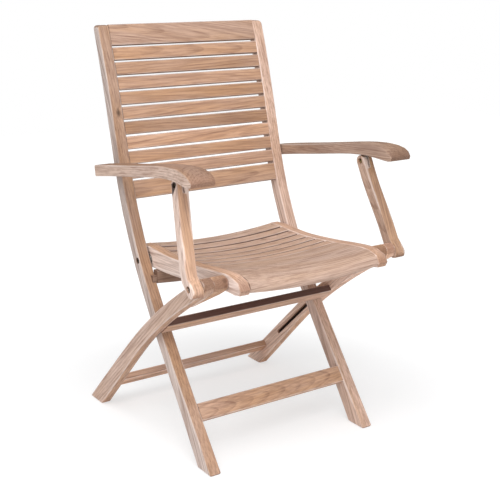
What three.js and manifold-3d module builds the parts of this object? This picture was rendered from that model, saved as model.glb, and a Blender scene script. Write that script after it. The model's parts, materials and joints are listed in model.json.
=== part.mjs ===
// Folding teak armchair with a slatted back, a dished slatted seat and crossing legs.
// Millimetres, +Z up, the sitter faces -Y. The frame stands on the floor at z = 0.
import * as THREE from 'three';
import { mergeVertices } from 'three/addons/utils/BufferGeometryUtils.js';
import Module from 'manifold-3d';

const wasm = await Module();
wasm.setup();

// Overall sizes that the side view is drawn in.
const HEIGHT = 930;
const DEPTH = 616;

// Widths across the chair, from the middle outwards.
const SEAT_OPENING = 336;
const RAIL_THICKNESS = 26;
const RAIL_PLAY = 4;
const STILE_THICKNESS = 28;
const LEG_PLAY = 2.4;
const LEG_THICKNESS = 24;
const STRUT_PLAY = 1;
const STRUT_THICKNESS = 27;
const ARM_PLAY = 4;
const ARM_WIDTH = 42;
const ARM_FLARE_IN = 6;
const ARM_FLARE_OUT = 12;

// Depths of the long members, seen from the side.
const STILE_DEPTH = 30;
const STILE_FOOT_DEPTH = 44;
const STILE_TOP_DEPTH = 24;
const STILE_CROWN = 9;
const LEG_DEPTH = 33;
const LEG_FOOT_DEPTH = 44;
const STRUT_DEPTH = 26;
const ARM_THICKNESS = 26;
const ARM_CROWN = 4;

// Back.
const BACK_SLATS = 9;
const BACK_SLAT_THICKNESS = 13;
const BACK_SLAT_GAP = 4.5;
const BACK_SETBACK = 1.5;
const TOP_RAIL_HEIGHT = 49;
const TOP_RAIL_SETDOWN = 1;
const BOTTOM_RAIL_HEIGHT = 42;

// Seat.
const SEAT_SLATS = 6;
const SEAT_SLAT_GAP = 6.5;
const SEAT_SLAT_THICKNESS = 14;
const SEAT_DISH = 10;
const SEAT_SETDOWN = 1;
const REAR_SLAT_WIDTH = 46;

// Cross members.
const STRETCHER_WIDTH = 44;
const STRETCHER_THICKNESS = 18;
const FRONT_STRETCHER_WIDTH = 40;
const REAR_STRETCHER_WIDTH = 32;
const REST_RAIL_HEIGHT = 30;
const REST_RAIL_BELLY = 10;
const SPACER_LENGTH = 104;
const SPACER_TIP = 5;
const MIDDLE_STRETCHER_DROP = 2;

// Joints in the wood.
const TENON_LENGTH = 10;
const TENON_SHOULDER = 3;
const EASE = 2.5;
const GAP = 0.3;
const OVERRUN = 5;

// Bolts, pins and plates.
const BOLT_RADIUS = 4;
const BOLT_HEAD_RADIUS = 7;
const BOLT_HEAD_HEIGHT = 4;
const SOCKET_RADIUS = 3;
const SOCKET_DEPTH = 2.4;
const SMALL_BOLT_RADIUS = 3;
const SMALL_HEAD_RADIUS = 5;
const SMALL_HEAD_HEIGHT = 3;
const ARM_BOLT_GRIP = 20;
const NUT_RADIUS = 6;
const NUT_HEIGHT = 4;
const BORE_PLAY = 0.4;
const PIN_RADIUS = 3;
const PIN_GRIP = 14;
const GROOVE_WIDTH = 10;
const GROOVE_DEPTH = 14;
const PLATE_THICKNESS = 2;
const PLATE_LENGTH = 46;
const PLATE_WIDTH = 18;
const WEB_THICKNESS = 3;
const TONGUE_RADIUS = 8;
const PLATE_LIFT = 0.7;
const HEAD_SET = 4;
const WASHER_RADIUS = 11;
const SMALL_WASHER_RADIUS = 8;
const STRUT_FOOT_LENGTH = 8;
const SLIT_WIDTH = 3.8;
const SLIT_DEPTH = 26;

// Steps that round shapes are drawn with.
const EASE_STEPS = 2;
const CROWN_STEPS = 4;
const BOLT_SIDES = 16;
const HEX_SIDES = 6;
const ROUND_STEPS = 4;
const SEAT_STATIONS = 9;
const STILE_STATIONS = 17;
const LEG_STATIONS = 14;
const STRUT_STATIONS = 10;
const ARM_STATIONS = 15;
const OUTLINE_STEPS = 2;
const BISECTIONS = 30;
const WELD = 1e-4;

// Faces of the layers across the chair.
const RAIL_IN = SEAT_OPENING / 2;
const RAIL_OUT = RAIL_IN + RAIL_THICKNESS;
const STILE_IN = RAIL_OUT + RAIL_PLAY;
const STILE_OUT = STILE_IN + STILE_THICKNESS;
const LEG_IN = STILE_OUT + LEG_PLAY;
const LEG_OUT = LEG_IN + LEG_THICKNESS;
const STRUT_IN = LEG_OUT + STRUT_PLAY;
const STRUT_OUT = STRUT_IN + STRUT_THICKNESS;
const ARM_IN = STILE_OUT + ARM_PLAY;
const ARM_OUT = ARM_IN + ARM_WIDTH;
const STRUT_TOP_X = ARM_IN + STRUT_THICKNESS / 2;
const BOLT_RECESS = HEAD_SET + BOLT_HEAD_HEIGHT + GAP;
const SMALL_RECESS = HEAD_SET + SMALL_HEAD_HEIGHT + GAP;
const NUT_RECESS = HEAD_SET + NUT_HEIGHT + GAP;
const FLANGE_LIFT = STRUT_DEPTH / 2 + PLATE_LIFT;

// Points of the side view as shares of DEPTH and HEIGHT, y from the pivot region towards the rear.
const SEAT_PIVOT_SHARES = [0.099, 0.4425];
const FRONT_PIVOT_SHARES = [-0.4237, 0.4694];
const STRUT_TOP_SHARES = [-0.2792, 0.6774];
const GROOVE_PIN_SHARES = [-0.0349, 0.2903];
const GROOVE_END_SHARES = [0.232, 0.1305];
const REST_RAIL_SHARES = [0.047, 0.406];
const STILE_SHARES = [
  [-0.357, 0], [-0.22, 0.124], [-0.068, 0.26], [0.035, 0.359], [0.108, 0.44],
  [0.167, 0.523], [0.202, 0.58], [0.235, 0.651], [0.257, 0.708], [0.299, 0.82],
  [0.34, 0.919], [0.379, 1],
];
const LEG_SHARES = [
  [-0.4237, 0.4694], [-0.243, 0.394], [-0.092, 0.3225], [0.028, 0.257], [0.164, 0.173],
  [0.3, 0.085], [0.433, 0],
];
const STRUT_SHARES = [
  [-0.4237, 0.4694], [-0.394, 0.49], [-0.372, 0.527], [-0.341, 0.573], [-0.305, 0.629],
  [-0.2792, 0.6774],
];
const ARM_SHARES = [
  [0.275, 0.654], [0.157, 0.6665], [-0.002, 0.6817], [-0.15, 0.6965], [-0.221, 0.703],
  [-0.288, 0.7073], [-0.341, 0.7089], [-0.386, 0.7082], [-0.425, 0.705], [-0.457, 0.698],
];

// Places along a member, as shares of its length.
const FRONT_STRETCHER_SHARE = 0.121;
const BACK_START_SHARE = 0.614;
const REST_TENON_SHARE = 0.6;
// Thinning of the leg's spacer from its round top to its tip.
const SPACER_TAPER_SHARES = [[0, 0], [0.25, 0], [0.5, 0.3], [1, 1]];
// Swelling of the stile's depth at its foot and its taper at the top.
const STILE_SWELL_SHARES = [[0, 1], [0.14, 0.4], [0.26, 0.12], [0.4, 0], [1, 0]];
const STILE_TAPER_SHARES = [[0, 0], [0.7, 0], [0.85, 0.4], [1, 1]];
const LEG_SWELL_SHARES = [[0, 0], [0.45, 0], [0.7, 0.45], [0.87, 0.85], [1, 1]];
const MIDDLE_STRETCHER_SHARE = 0.368;
const REAR_STRETCHER_SHARE = 0.888;
const REAR_STRETCHER_LIFT_SHARE = 0.27;
// Inward lean of the strut, from none at its foot to all of it at its top.
const STRUT_LEAN_SHARES = [[0, 0], [0.16, 0], [0.45, 0.34], [0.72, 0.7], [1, 1]];
// Thickness of the arm along its length, drooping to a blunt round nose.
const ARM_BODY_SHARES = [
  [0, 1], [0.35, 0.95], [0.62, 0.94], [0.78, 1.03], [0.88, 1.11], [0.93, 1.05], [0.962, 0.93], [0.985, 0.7],
  [1, 0.34],
];
// Width of the arm's front that is rounded away at each side of the nose.
const ARM_NOSE_SHARES = [[0, 0], [0.965, 0], [0.985, 0.015], [1, 0.05]];
// Flare of the arm towards the hand, to both sides.
const ARM_FLARE_SHARES = [[0, 0], [0.68, 0], [0.82, 0.36], [0.93, 0.92], [1, 1]];
// Height of the arm's crown, which swells under the hand and dies out at the nose.
const ARM_CROWN_SHARES = [[0, 0], [0.55, 0], [0.75, 0.5], [0.9, 1], [0.96, 0.85], [1, 0.1]];
// Reach of the seat in front of its pivot, as a share of the distance between its two pivots.
const REACH_SHARE = 1.177;
// Outlines of the seat from its pivot, as shares of that reach: the rail's top, nose, underside and heel.
const RAIL_TOP_SHARES = [
  [0.1, 0.07], [-0.005, 0.075], [-0.2, 0.066], [-0.35, 0.071], [-0.56, 0.088], [-0.7, 0.104],
  [-0.84, 0.116], [-0.91, 0.1135],
];
const RAIL_NOSE_SHARES = [
  [-0.965, 0.108], [-1.003, 0.085], [-1.003, 0.052], [-1.003, 0.014], [-0.94, 0.016],
];
const RAIL_UNDER_SHARES = [[-0.85, 0.017], [-0.6, -0.003], [-0.4, -0.029], [-0.2, -0.045], [0.01, -0.05]];
const RAIL_HEEL_SHARES = [[0.1, -0.05], [0.1, 0.015]];
// The front board's top from its rear edge, its rolled nose and its underside.
const FRONT_BOARD_SHARES = [
  [-0.6, 0.09], [-0.7, 0.101], [-0.84, 0.113], [-0.905, 0.111], [-0.955, 0.101], [-0.985, 0.083],
  [-0.998, 0.06], [-0.992, 0.038], [-0.97, 0.026], [-0.945, 0.028], [-0.93, 0.043], [-0.912, 0.066],
  [-0.84, 0.073], [-0.7, 0.062], [-0.6, 0.052],
];
const FRONT_TENON_SHARES = [[-0.76, 0.072], [-0.64, 0.088]];

const X_AXIS = new THREE.Vector3(1, 0, 0);
const Y_AXIS = new THREE.Vector3(0, 1, 0);
const Z_AXIS = new THREE.Vector3(0, 0, 1);
const QUARTER = Math.PI / 2;
const CORNERS = [[1, 1, 0], [-1, 1, QUARTER], [-1, -1, 2 * QUARTER], [1, -1, 3 * QUARTER]];

const TEAK = new THREE.MeshStandardMaterial({ color: '#c39a78', roughness: 0.62, metalness: 0 });
const TEAK_SHADE = new THREE.MeshStandardMaterial({ color: '#ae8263', roughness: 0.66, metalness: 0 });
const STEEL = new THREE.MeshStandardMaterial({ color: '#9b9791', roughness: 0.35, metalness: 1 });

// A point of the side view, as (y, z).
function place([across, up]) {
  return new THREE.Vector2(across * DEPTH, up * HEIGHT);
}

function sideCurve(shares) {
  return new THREE.SplineCurve(shares.map(place));
}

// Straight interpolation in a table of [share, value] rows.
function along(table, share) {
  const after = Math.max(1, table.findIndex(([at]) => at >= share));
  const [from, low] = table[after - 1];
  const [to, high] = table[after];
  return low + (high - low) * THREE.MathUtils.clamp((share - from) / (to - from), 0, 1);
}

const SEAT_PIVOT = place(SEAT_PIVOT_SHARES);
const FRONT_PIVOT = place(FRONT_PIVOT_SHARES);
const STRUT_TOP = place(STRUT_TOP_SHARES);
const ARM_PIVOT = SEAT_PIVOT.clone().add(STRUT_TOP).sub(FRONT_PIVOT);
const GROOVE_PIN = place(GROOVE_PIN_SHARES);
const GROOVE_END = place(GROOVE_END_SHARES);
const STILE_LINE = sideCurve(STILE_SHARES);
const LEG_LINE = sideCurve(LEG_SHARES);
const STRUT_LINE = sideCurve(STRUT_SHARES);
const ARM_LINE = sideCurve(ARM_SHARES);
const SEAT_REACH = (SEAT_PIVOT.x - FRONT_PIVOT.x) * REACH_SHARE;
const SEAT_LINE = new THREE.SplineCurve(RAIL_TOP_SHARES.map(onSeat));

// Signed volume of an indexed geometry, positive when its faces point out.
function signedVolume(geometry) {
  const { array } = geometry.attributes.position;
  const index = geometry.index.array;
  const [a, b, c] = [new THREE.Vector3(), new THREE.Vector3(), new THREE.Vector3()];
  let total = 0;
  for (let i = 0; i < index.length; i += 3) {
    a.fromArray(array, 3 * index[i]);
    b.fromArray(array, 3 * index[i + 1]);
    c.fromArray(array, 3 * index[i + 2]);
    total += a.dot(b.cross(c));
  }
  return total;
}

function solidOf(geometry) {
  const bare = geometry.clone();
  bare.deleteAttribute('normal');
  bare.deleteAttribute('uv');
  const merged = mergeVertices(bare, WELD);
  const triVerts = new Uint32Array(merged.index.array);
  if (signedVolume(merged) < 0) {
    triVerts.reverse();
  }
  const vertProperties = new Float32Array(merged.attributes.position.array);
  return new wasm.Manifold(new wasm.Mesh({ numProp: 3, vertProperties, triVerts }));
}

function geometryOf(solid) {
  const { vertProperties, triVerts } = solid.getMesh();
  const geometry = new THREE.BufferGeometry();
  geometry.setAttribute('position', new THREE.BufferAttribute(new Float32Array(vertProperties), 3));
  geometry.setIndex(new THREE.BufferAttribute(new Uint32Array(triVerts), 1));
  geometry.computeVertexNormals();
  return geometry;
}

function joined(solids) {
  return solids.reduce((sum, next) => sum.add(next));
}

// Triangles that fill a flat ring, turning the way its points do.
function capOf(ring) {
  const normal = new THREE.Vector3();
  ring.forEach((point, i) => {
    const next = ring[(i + 1) % ring.length];
    normal.add(point.clone().sub(ring[0]).cross(next.clone().sub(ring[0])));
  });
  const u = ring[1].clone().sub(ring[0]).normalize();
  const v = new THREE.Vector3().crossVectors(normal.normalize(), u);
  const flat = ring.map((point) => new THREE.Vector2(point.dot(u), point.dot(v)));
  return THREE.ShapeUtils.triangulateShape(flat, []);
}

// Skin through rings of equally many points, closed by a cap at each end.
function loft(rings) {
  const count = rings[0].length;
  const positions = rings.flat().flatMap((point) => point.toArray());
  const indices = [];
  for (let i = 0; i + 1 < rings.length; i += 1) {
    for (let j = 0; j < count; j += 1) {
      const a = i * count + j;
      const b = i * count + (j + 1) % count;
      indices.push(a, b, b + count, a, b + count, a + count);
    }
  }
  const last = (rings.length - 1) * count;
  for (const [a, b, c] of capOf(rings[0])) {
    indices.push(c, b, a);
  }
  for (const [a, b, c] of capOf(rings[rings.length - 1])) {
    indices.push(last + a, last + b, last + c);
  }
  const geometry = new THREE.BufferGeometry();
  geometry.setAttribute('position', new THREE.Float32BufferAttribute(positions, 3));
  geometry.setIndex(indices);
  return solidOf(geometry);
}

// Points of a rectangle with eased corners, as [across, up] from its middle.
function easedRectangle(halfWidth, halfHeight, ease) {
  const round = Math.min(ease, halfWidth / 2, halfHeight / 2);
  const points = [];
  for (const [right, top, start] of CORNERS) {
    for (let step = 0; step <= EASE_STEPS; step += 1) {
      const angle = start + QUARTER * step / EASE_STEPS;
      const u = right * (halfWidth - round) + round * Math.cos(angle);
      const v = top * (halfHeight - round) + round * Math.sin(angle);
      points.push([u, v]);
    }
  }
  return points;
}

// An eased rectangle whose top swells to a crown in its middle.
function crownedRectangle(halfWidth, halfHeight, ease, crown) {
  const points = easedRectangle(halfWidth, halfHeight, ease);
  const rise = [];
  for (let step = 1; step < CROWN_STEPS; step += 1) {
    const across = 1 - 2 * step / CROWN_STEPS;
    rise.push([across * (halfWidth - ease), halfHeight + crown * (1 - across * across)]);
  }
  points.splice(EASE_STEPS + 1, 0, ...rise);
  return points;
}

// A ring square to a line of the side view, about a centre x, leaned to a level plane where one is given.
function ringAt(centre, tangent, x, halfWidth, halfDepth, level) {
  return ringOf(easedRectangle(halfWidth, halfDepth, EASE), centre, tangent, x, level);
}

function ringOf(section, centre, tangent, x, level) {
  return section.map(([u, v]) => {
    const y = centre.x - tangent.y * v;
    const z = centre.y + tangent.x * v;
    const shift = level === undefined ? 0 : (level - z) / tangent.y;
    return new THREE.Vector3(x + u, y + tangent.x * shift, z + tangent.y * shift);
  });
}

// Rings that close a member in a half round about a centre; outward is +1 past the end, -1 before it.
function roundEnd(centre, tangent, outward, x, halfWidth, radius) {
  const rings = [];
  for (let step = 0; step < ROUND_STEPS; step += 1) {
    const angle = QUARTER * step / ROUND_STEPS;
    const middle = centre.clone().addScaledVector(tangent, outward * radius * Math.sin(angle));
    rings.push(ringAt(middle, tangent, x, halfWidth, radius * Math.cos(angle)));
  }
  const tip = centre.clone().addScaledVector(tangent, outward * radius);
  rings.push(ringAt(tip, tangent, x, halfWidth, radius / ROUND_STEPS / 2));
  return outward > 0 ? rings : rings.reverse();
}

// A prism over an outline of the side view, between two faces across the chair.
function prism(outline, from, to) {
  const shape = new THREE.Shape(outline);
  const geometry = new THREE.ExtrudeGeometry(shape, { depth: to - from, bevelEnabled: false });
  geometry.applyMatrix4(new THREE.Matrix4().makeBasis(Y_AXIS, Z_AXIS, X_AXIS));
  geometry.translate(from, 0, 0);
  return solidOf(geometry);
}

function rod(centre, radius, from, to, sides = BOLT_SIDES) {
  const geometry = new THREE.CylinderGeometry(radius, radius, to - from, sides);
  geometry.rotateZ(-QUARTER);
  geometry.translate((from + to) / 2, centre.x, centre.y);
  return solidOf(geometry);
}

function block(from, to) {
  const size = to.clone().sub(from);
  const geometry = new THREE.BoxGeometry(size.x, size.y, size.z);
  const middle = from.clone().add(to).multiplyScalar(0.5);
  geometry.translate(middle.x, middle.y, middle.z);
  return solidOf(geometry);
}

function mirrored(solid) {
  return solid.mirror([1, 0, 0]);
}

// Places a local solid as the mesh that carries it stands.
function posed(solid, mesh) {
  mesh.updateMatrix();
  return solid.transform(mesh.matrix.elements);
}

// A mesh whose own origin is at a named point of the chair.
function piece(name, solid, material, x = 0, origin = new THREE.Vector2()) {
  const geometry = geometryOf(solid);
  geometry.translate(-x, -origin.x, -origin.y);
  const mesh = new THREE.Mesh(geometry, material);
  mesh.name = name;
  mesh.position.set(x, origin.x, origin.y);
  return mesh;
}

// The same piece on both sides; the right one is drawn at +X.
function pair(name, solid, material, x, origin) {
  return [
    piece(`${name}_left`, mirrored(solid), material, -x, origin),
    piece(`${name}_right`, solid, material, x, origin),
  ];
}

// Centre, tangent and normal of a side line at a share of its length.
function stationOf(line, share) {
  const tangent = line.getTangentAt(share);
  return { centre: line.getPointAt(share), tangent, normal: new THREE.Vector2(-tangent.y, tangent.x) };
}

// Share of a side line at a place across, where the line runs from the rear to the front.
function shareAcross(line, across) {
  let [low, high] = [0, 1];
  for (let step = 0; step < BISECTIONS; step += 1) {
    const middle = (low + high) / 2;
    [low, high] = line.getPointAt(middle).x > across ? [middle, high] : [low, middle];
  }
  return (low + high) / 2;
}

// Depth of the stile, which swells to its foot and thins to its top.
function stileDepth(share) {
  const swell = (STILE_FOOT_DEPTH - STILE_DEPTH) * along(STILE_SWELL_SHARES, share);
  const taper = (STILE_DEPTH - STILE_TOP_DEPTH) * along(STILE_TAPER_SHARES, share);
  return STILE_DEPTH + swell - taper;
}

function legDepth(share) {
  return LEG_DEPTH + (LEG_FOOT_DEPTH - LEG_DEPTH) * along(LEG_SWELL_SHARES, share);
}

// A straight board across the chair, its height along local Z, with a tenon at each end.
function crossBoard(span, thickness, height) {
  const body = easedRectangle(thickness / 2, height / 2, EASE).map(([y, z]) => new THREE.Vector2(y, z));
  const half = span / 2 - GAP;
  return prism(body, -half, half).add(tenons(span, thickness, height));
}

function tenons(span, thickness, height, play = 0) {
  const reach = span / 2 + TENON_LENGTH + play;
  const side = thickness / 2 - TENON_SHOULDER + play;
  const rise = height / 2 - TENON_SHOULDER + play;
  return block(new THREE.Vector3(-reach, -side, -rise), new THREE.Vector3(reach, side, rise));
}

// A board across the chair that follows a line of the side view.
function boardOn(name, solid, centre, tangent, material) {
  const mesh = piece(name, solid, material);
  mesh.position.set(0, centre.x, centre.y);
  mesh.rotation.x = Math.atan2(-tangent.x, tangent.y);
  return mesh;
}

// A section of the side view swept across the chair; the hollow runs from 0 at the ends to 1 in the middle.
function swept(halfSpan, sectionAt) {
  const rings = [];
  for (let i = 0; i < SEAT_STATIONS; i += 1) {
    const share = 2 * i / (SEAT_STATIONS - 1) - 1;
    rings.push(sectionAt(1 - share * share).map(([y, z]) => new THREE.Vector3(share * halfSpan, y, z)));
  }
  return loft(rings);
}

function dished(section, halfSpan) {
  return swept(halfSpan, (hollow) => section.map(([y, z]) => [y, z - SEAT_DISH * hollow]));
}

// The tongues at both ends of a dished piece, or with play the mortises that take them.
function endTongues(from, to, inner, outer, play = 0) {
  const low = Math.min(from.y, to.y) - play;
  const tongue = block(
    new THREE.Vector3(inner, Math.min(from.x, to.x) - play, low),
    new THREE.Vector3(outer + play, Math.max(from.x, to.x) + play, Math.max(from.y, to.y) + play),
  );
  return tongue.add(mirrored(tongue));
}

// Socket-head bolt along X with its head at the outer end.
function bolt(centre, inner, outer, radius, headRadius, headHeight) {
  const shaft = rod(centre, radius, inner, outer - headHeight / 2);
  const head = rod(centre, headRadius, outer - headHeight, outer);
  const socket = rod(centre, SOCKET_RADIUS, outer - SOCKET_DEPTH, outer + OVERRUN, HEX_SIDES);
  return shaft.add(head).subtract(socket);
}

// Hexagon nut that sits round a bolt's inner end, its outer face at the side of the wood.
function nut(centre, inner, outer, radius) {
  return rod(centre, NUT_RADIUS, inner, outer, HEX_SIDES)
    .subtract(bore(centre, radius, inner - OVERRUN, outer + OVERRUN));
}

function bore(centre, radius, from, to) {
  return rod(centre, radius + BORE_PLAY, from, to);
}

// Washer that fills the play between two faces across the chair.
function washer(centre, radius, boltRadius, from, to) {
  return rod(centre, radius, from + GAP, to - GAP).subtract(bore(centre, boltRadius, from, to));
}

// Back boards between the stiles, evenly spaced up their curve.
function backBoards() {
  const length = STILE_LINE.getLength();
  const top = 1 - (TOP_RAIL_HEIGHT + TOP_RAIL_SETDOWN) / length;
  const bottom = BACK_START_SHARE + BOTTOM_RAIL_HEIGHT / length;
  const gap = BACK_SLAT_GAP / length;
  const pitch = (top - bottom - gap) / BACK_SLATS;
  const rows = [['bottom_rail', BACK_START_SHARE, BOTTOM_RAIL_HEIGHT], ['top_rail', top, TOP_RAIL_HEIGHT]];
  for (let i = 0; i < BACK_SLATS; i += 1) {
    rows.push([`back_slat_${i + 1}`, bottom + gap + i * pitch, (pitch - gap) * length]);
  }
  return rows.map(([name, edge, height]) => {
    const material = name.endsWith('rail') ? TEAK : TEAK_SHADE;
    return stileBoard(name, edge + height / length / 2, BACK_SLAT_THICKNESS, height, material);
  });
}

// A board between the stiles, set back a little from their front, and the mortises that it needs.
function stileBoard(name, share, thickness, height, material) {
  const { centre, tangent, normal } = stationOf(STILE_LINE, share);
  centre.addScaledVector(normal, stileDepth(share) / 2 - BACK_SETBACK - thickness / 2);
  const mesh = boardOn(name, crossBoard(2 * STILE_IN, thickness, height), centre, tangent, material);
  return { mesh, mortise: posed(tenons(2 * STILE_IN, thickness, height, GAP), mesh) };
}

// The rail that the seat comes down on, deeper in the middle than at its ends.
function restRail() {
  const middle = place(REST_RAIL_SHARES);
  const belly = (hollow) => easedRectangle(
    STRETCHER_THICKNESS / 2, (REST_RAIL_HEIGHT + REST_RAIL_BELLY * hollow) / 2, EASE,
  ).map(([y, z]) => [y, z - REST_RAIL_BELLY * hollow / 2]);
  const side = STRETCHER_THICKNESS / 2 - TENON_SHOULDER;
  const low = new THREE.Vector2(-side, TENON_SHOULDER - REST_RAIL_HEIGHT / 2);
  const high = new THREE.Vector2(side, REST_RAIL_HEIGHT * (REST_TENON_SHARE - 0.5));
  const tongues = (play) => endTongues(low, high, STILE_IN - TENON_LENGTH, STILE_IN + TENON_LENGTH, play);
  const mesh = piece('seat_rest_rail', swept(STILE_IN - GAP, belly).add(tongues(0)), TEAK_SHADE);
  mesh.position.set(0, middle.x, middle.y);
  return { mesh, mortise: posed(tongues(GAP), mesh) };
}

// One side post: rear leg line below, reclined back above.
function stile(mortises) {
  const x = (STILE_IN + STILE_OUT) / 2;
  const half = STILE_THICKNESS / 2;
  const rings = levelEnd(STILE_LINE, 0, x, half, stileDepth(0) / 2, EASE, 0);
  for (let i = 1; i < STILE_STATIONS; i += 1) {
    const share = i / STILE_STATIONS;
    const { centre, tangent } = stationOf(STILE_LINE, share);
    rings.push(ringAt(centre, tangent, x, half, stileDepth(share) / 2));
  }
  rings.push(...stileCrown(x, half));
  return loft(rings)
    .subtract(joined(mortises))
    .subtract(bore(SEAT_PIVOT, BOLT_RADIUS, STILE_IN - OVERRUN, STILE_OUT + OVERRUN))
    .subtract(bore(SEAT_PIVOT, BOLT_HEAD_RADIUS, STILE_OUT - BOLT_RECESS, STILE_OUT + OVERRUN))
    .subtract(bore(ARM_PIVOT, SMALL_BOLT_RADIUS, STILE_IN - OVERRUN, STILE_OUT + OVERRUN))
    .subtract(bore(ARM_PIVOT, SMALL_HEAD_RADIUS, STILE_IN - OVERRUN, STILE_IN + SMALL_RECESS))
    .subtract(bore(GROOVE_PIN, PIN_RADIUS, STILE_OUT - PIN_GRIP - BORE_PLAY, STILE_OUT + OVERRUN));
}

// Level rings that round the outer top corner of the stile.
function stileCrown(x, half) {
  const { centre, tangent } = stationOf(STILE_LINE, 1);
  const rings = [];
  for (let step = 0; step <= ROUND_STEPS; step += 1) {
    const angle = QUARTER * step / ROUND_STEPS;
    const cut = STILE_CROWN * (1 - Math.cos(angle)) / 2;
    const depth = stileDepth(1) / 2 - EASE * (1 - Math.cos(angle));
    const level = HEIGHT - STILE_CROWN * (1 - Math.sin(angle));
    rings.push(ringAt(centre, tangent, x - cut, half - cut, depth, level));
  }
  return rings;
}

// Two level rings that close a member at a height, the outermost one eased.
function levelEnd(line, share, x, halfWidth, halfDepth, shoulder, end) {
  const { centre, tangent } = stationOf(line, share);
  const full = ringAt(centre, tangent, x, halfWidth, halfDepth, shoulder);
  const eased = ringAt(centre, tangent, x, halfWidth - EASE, halfDepth - EASE, end);
  return share > 0 ? [full, eased] : [eased, full];
}

// One rear leg, from its round top at the front of the seat down to the floor behind.
function rearLeg(mortises) {
  const x = (LEG_IN + LEG_OUT) / 2;
  const half = LEG_THICKNESS / 2;
  const { tangent } = stationOf(LEG_LINE, 0);
  const rings = roundEnd(FRONT_PIVOT, tangent, -1, x, half, LEG_DEPTH / 2);
  for (let i = 1; i < LEG_STATIONS; i += 1) {
    const share = i / LEG_STATIONS;
    const station = stationOf(LEG_LINE, share);
    rings.push(ringAt(station.centre, station.tangent, x, half, legDepth(share) / 2));
  }
  rings.push(...levelEnd(LEG_LINE, 1, x, half, legDepth(1) / 2, EASE, 0));
  return loft(rings)
    .subtract(joined(mortises))
    .subtract(groove())
    .subtract(bore(FRONT_PIVOT, BOLT_RADIUS, LEG_IN - OVERRUN, LEG_OUT + OVERRUN));
}

// Straight groove in the leg's inner face that runs over the pin of the stile.
function groove() {
  const [inner, outer] = [LEG_IN - OVERRUN, LEG_IN + GROOVE_DEPTH];
  const run = GROOVE_END.clone().sub(GROOVE_PIN).normalize();
  const side = new THREE.Vector2(-run.y, run.x).multiplyScalar(GROOVE_WIDTH / 2);
  const start = GROOVE_PIN.clone().addScaledVector(run, -GROOVE_WIDTH / 2);
  const corners = [
    start.clone().add(side), start.clone().sub(side),
    GROOVE_END.clone().sub(side), GROOVE_END.clone().add(side),
  ];
  return joined([
    prism(corners, inner, outer),
    rod(start, GROOVE_WIDTH / 2, inner, outer),
    rod(GROOVE_END, GROOVE_WIDTH / 2, inner, outer),
  ]);
}

// Block glued to the leg's round top that reaches in to the seat rail and thins out down the leg.
function legSpacer() {
  const [inner, outer] = [RAIL_OUT + STRUT_PLAY, LEG_IN - GAP];
  const full = (outer - inner) / 2;
  const reach = SPACER_LENGTH / LEG_LINE.getLength();
  const rings = roundEnd(FRONT_PIVOT, stationOf(LEG_LINE, 0).tangent, -1, outer - full, full, LEG_DEPTH / 2);
  for (let step = 1; step <= ROUND_STEPS; step += 1) {
    const share = step / ROUND_STEPS;
    const { centre, tangent } = stationOf(LEG_LINE, share * reach);
    const half = full + (SPACER_TIP / 2 - full) * along(SPACER_TAPER_SHARES, share);
    rings.push(ringAt(centre, tangent, outer - half, half, LEG_DEPTH / 2));
  }
  return loft(rings).subtract(bore(FRONT_PIVOT, BOLT_RADIUS, inner - OVERRUN, outer + OVERRUN));
}

// A stretcher between the rear legs; lift moves it off the leg's centre line, towards its upper side.
function legStretcher(name, share, width, lift) {
  const { centre, tangent, normal } = stationOf(LEG_LINE, share);
  centre.addScaledVector(normal, lift);
  const mesh = boardOn(name, crossBoard(2 * LEG_IN, STRETCHER_THICKNESS, width), centre, tangent, TEAK);
  return { mesh, mortise: posed(tenons(2 * LEG_IN, STRETCHER_THICKNESS, width, GAP), mesh) };
}

// A place on the seat, from its pivot, as (y, z).
function onSeat([back, up]) {
  return new THREE.Vector2(back * SEAT_REACH, up * SEAT_REACH).add(SEAT_PIVOT);
}

// One side rail of the seat with its rounded nose and heel.
function seatRail(mortises) {
  const shape = new THREE.Shape();
  const [top, nose, under, heel] = [RAIL_TOP_SHARES, RAIL_NOSE_SHARES, RAIL_UNDER_SHARES, RAIL_HEEL_SHARES]
    .map((shares) => shares.map(onSeat));
  shape.moveTo(top[0].x, top[0].y);
  shape.splineThru(top.slice(1));
  shape.bezierCurveTo(nose[0].x, nose[0].y, nose[1].x, nose[1].y, nose[2].x, nose[2].y);
  shape.quadraticCurveTo(nose[3].x, nose[3].y, nose[4].x, nose[4].y);
  shape.splineThru(under);
  shape.quadraticCurveTo(heel[0].x, heel[0].y, heel[1].x, heel[1].y);
  const geometry = new THREE.ExtrudeGeometry(shape, {
    depth: RAIL_THICKNESS - 2 * EASE, curveSegments: OUTLINE_STEPS, bevelSegments: EASE_STEPS,
    bevelThickness: EASE, bevelSize: EASE, bevelOffset: -EASE,
  });
  geometry.applyMatrix4(new THREE.Matrix4().makeBasis(Y_AXIS, Z_AXIS, X_AXIS));
  geometry.translate(RAIL_IN + EASE, 0, 0);
  return solidOf(geometry)
    .subtract(joined(mortises))
    .subtract(joined([SEAT_PIVOT, FRONT_PIVOT].flatMap((pivot) => [
      bore(pivot, BOLT_RADIUS, RAIL_IN - OVERRUN, RAIL_OUT + OVERRUN),
      bore(pivot, NUT_RADIUS, RAIL_IN - OVERRUN, RAIL_IN + NUT_RECESS),
    ])));
}

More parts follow.
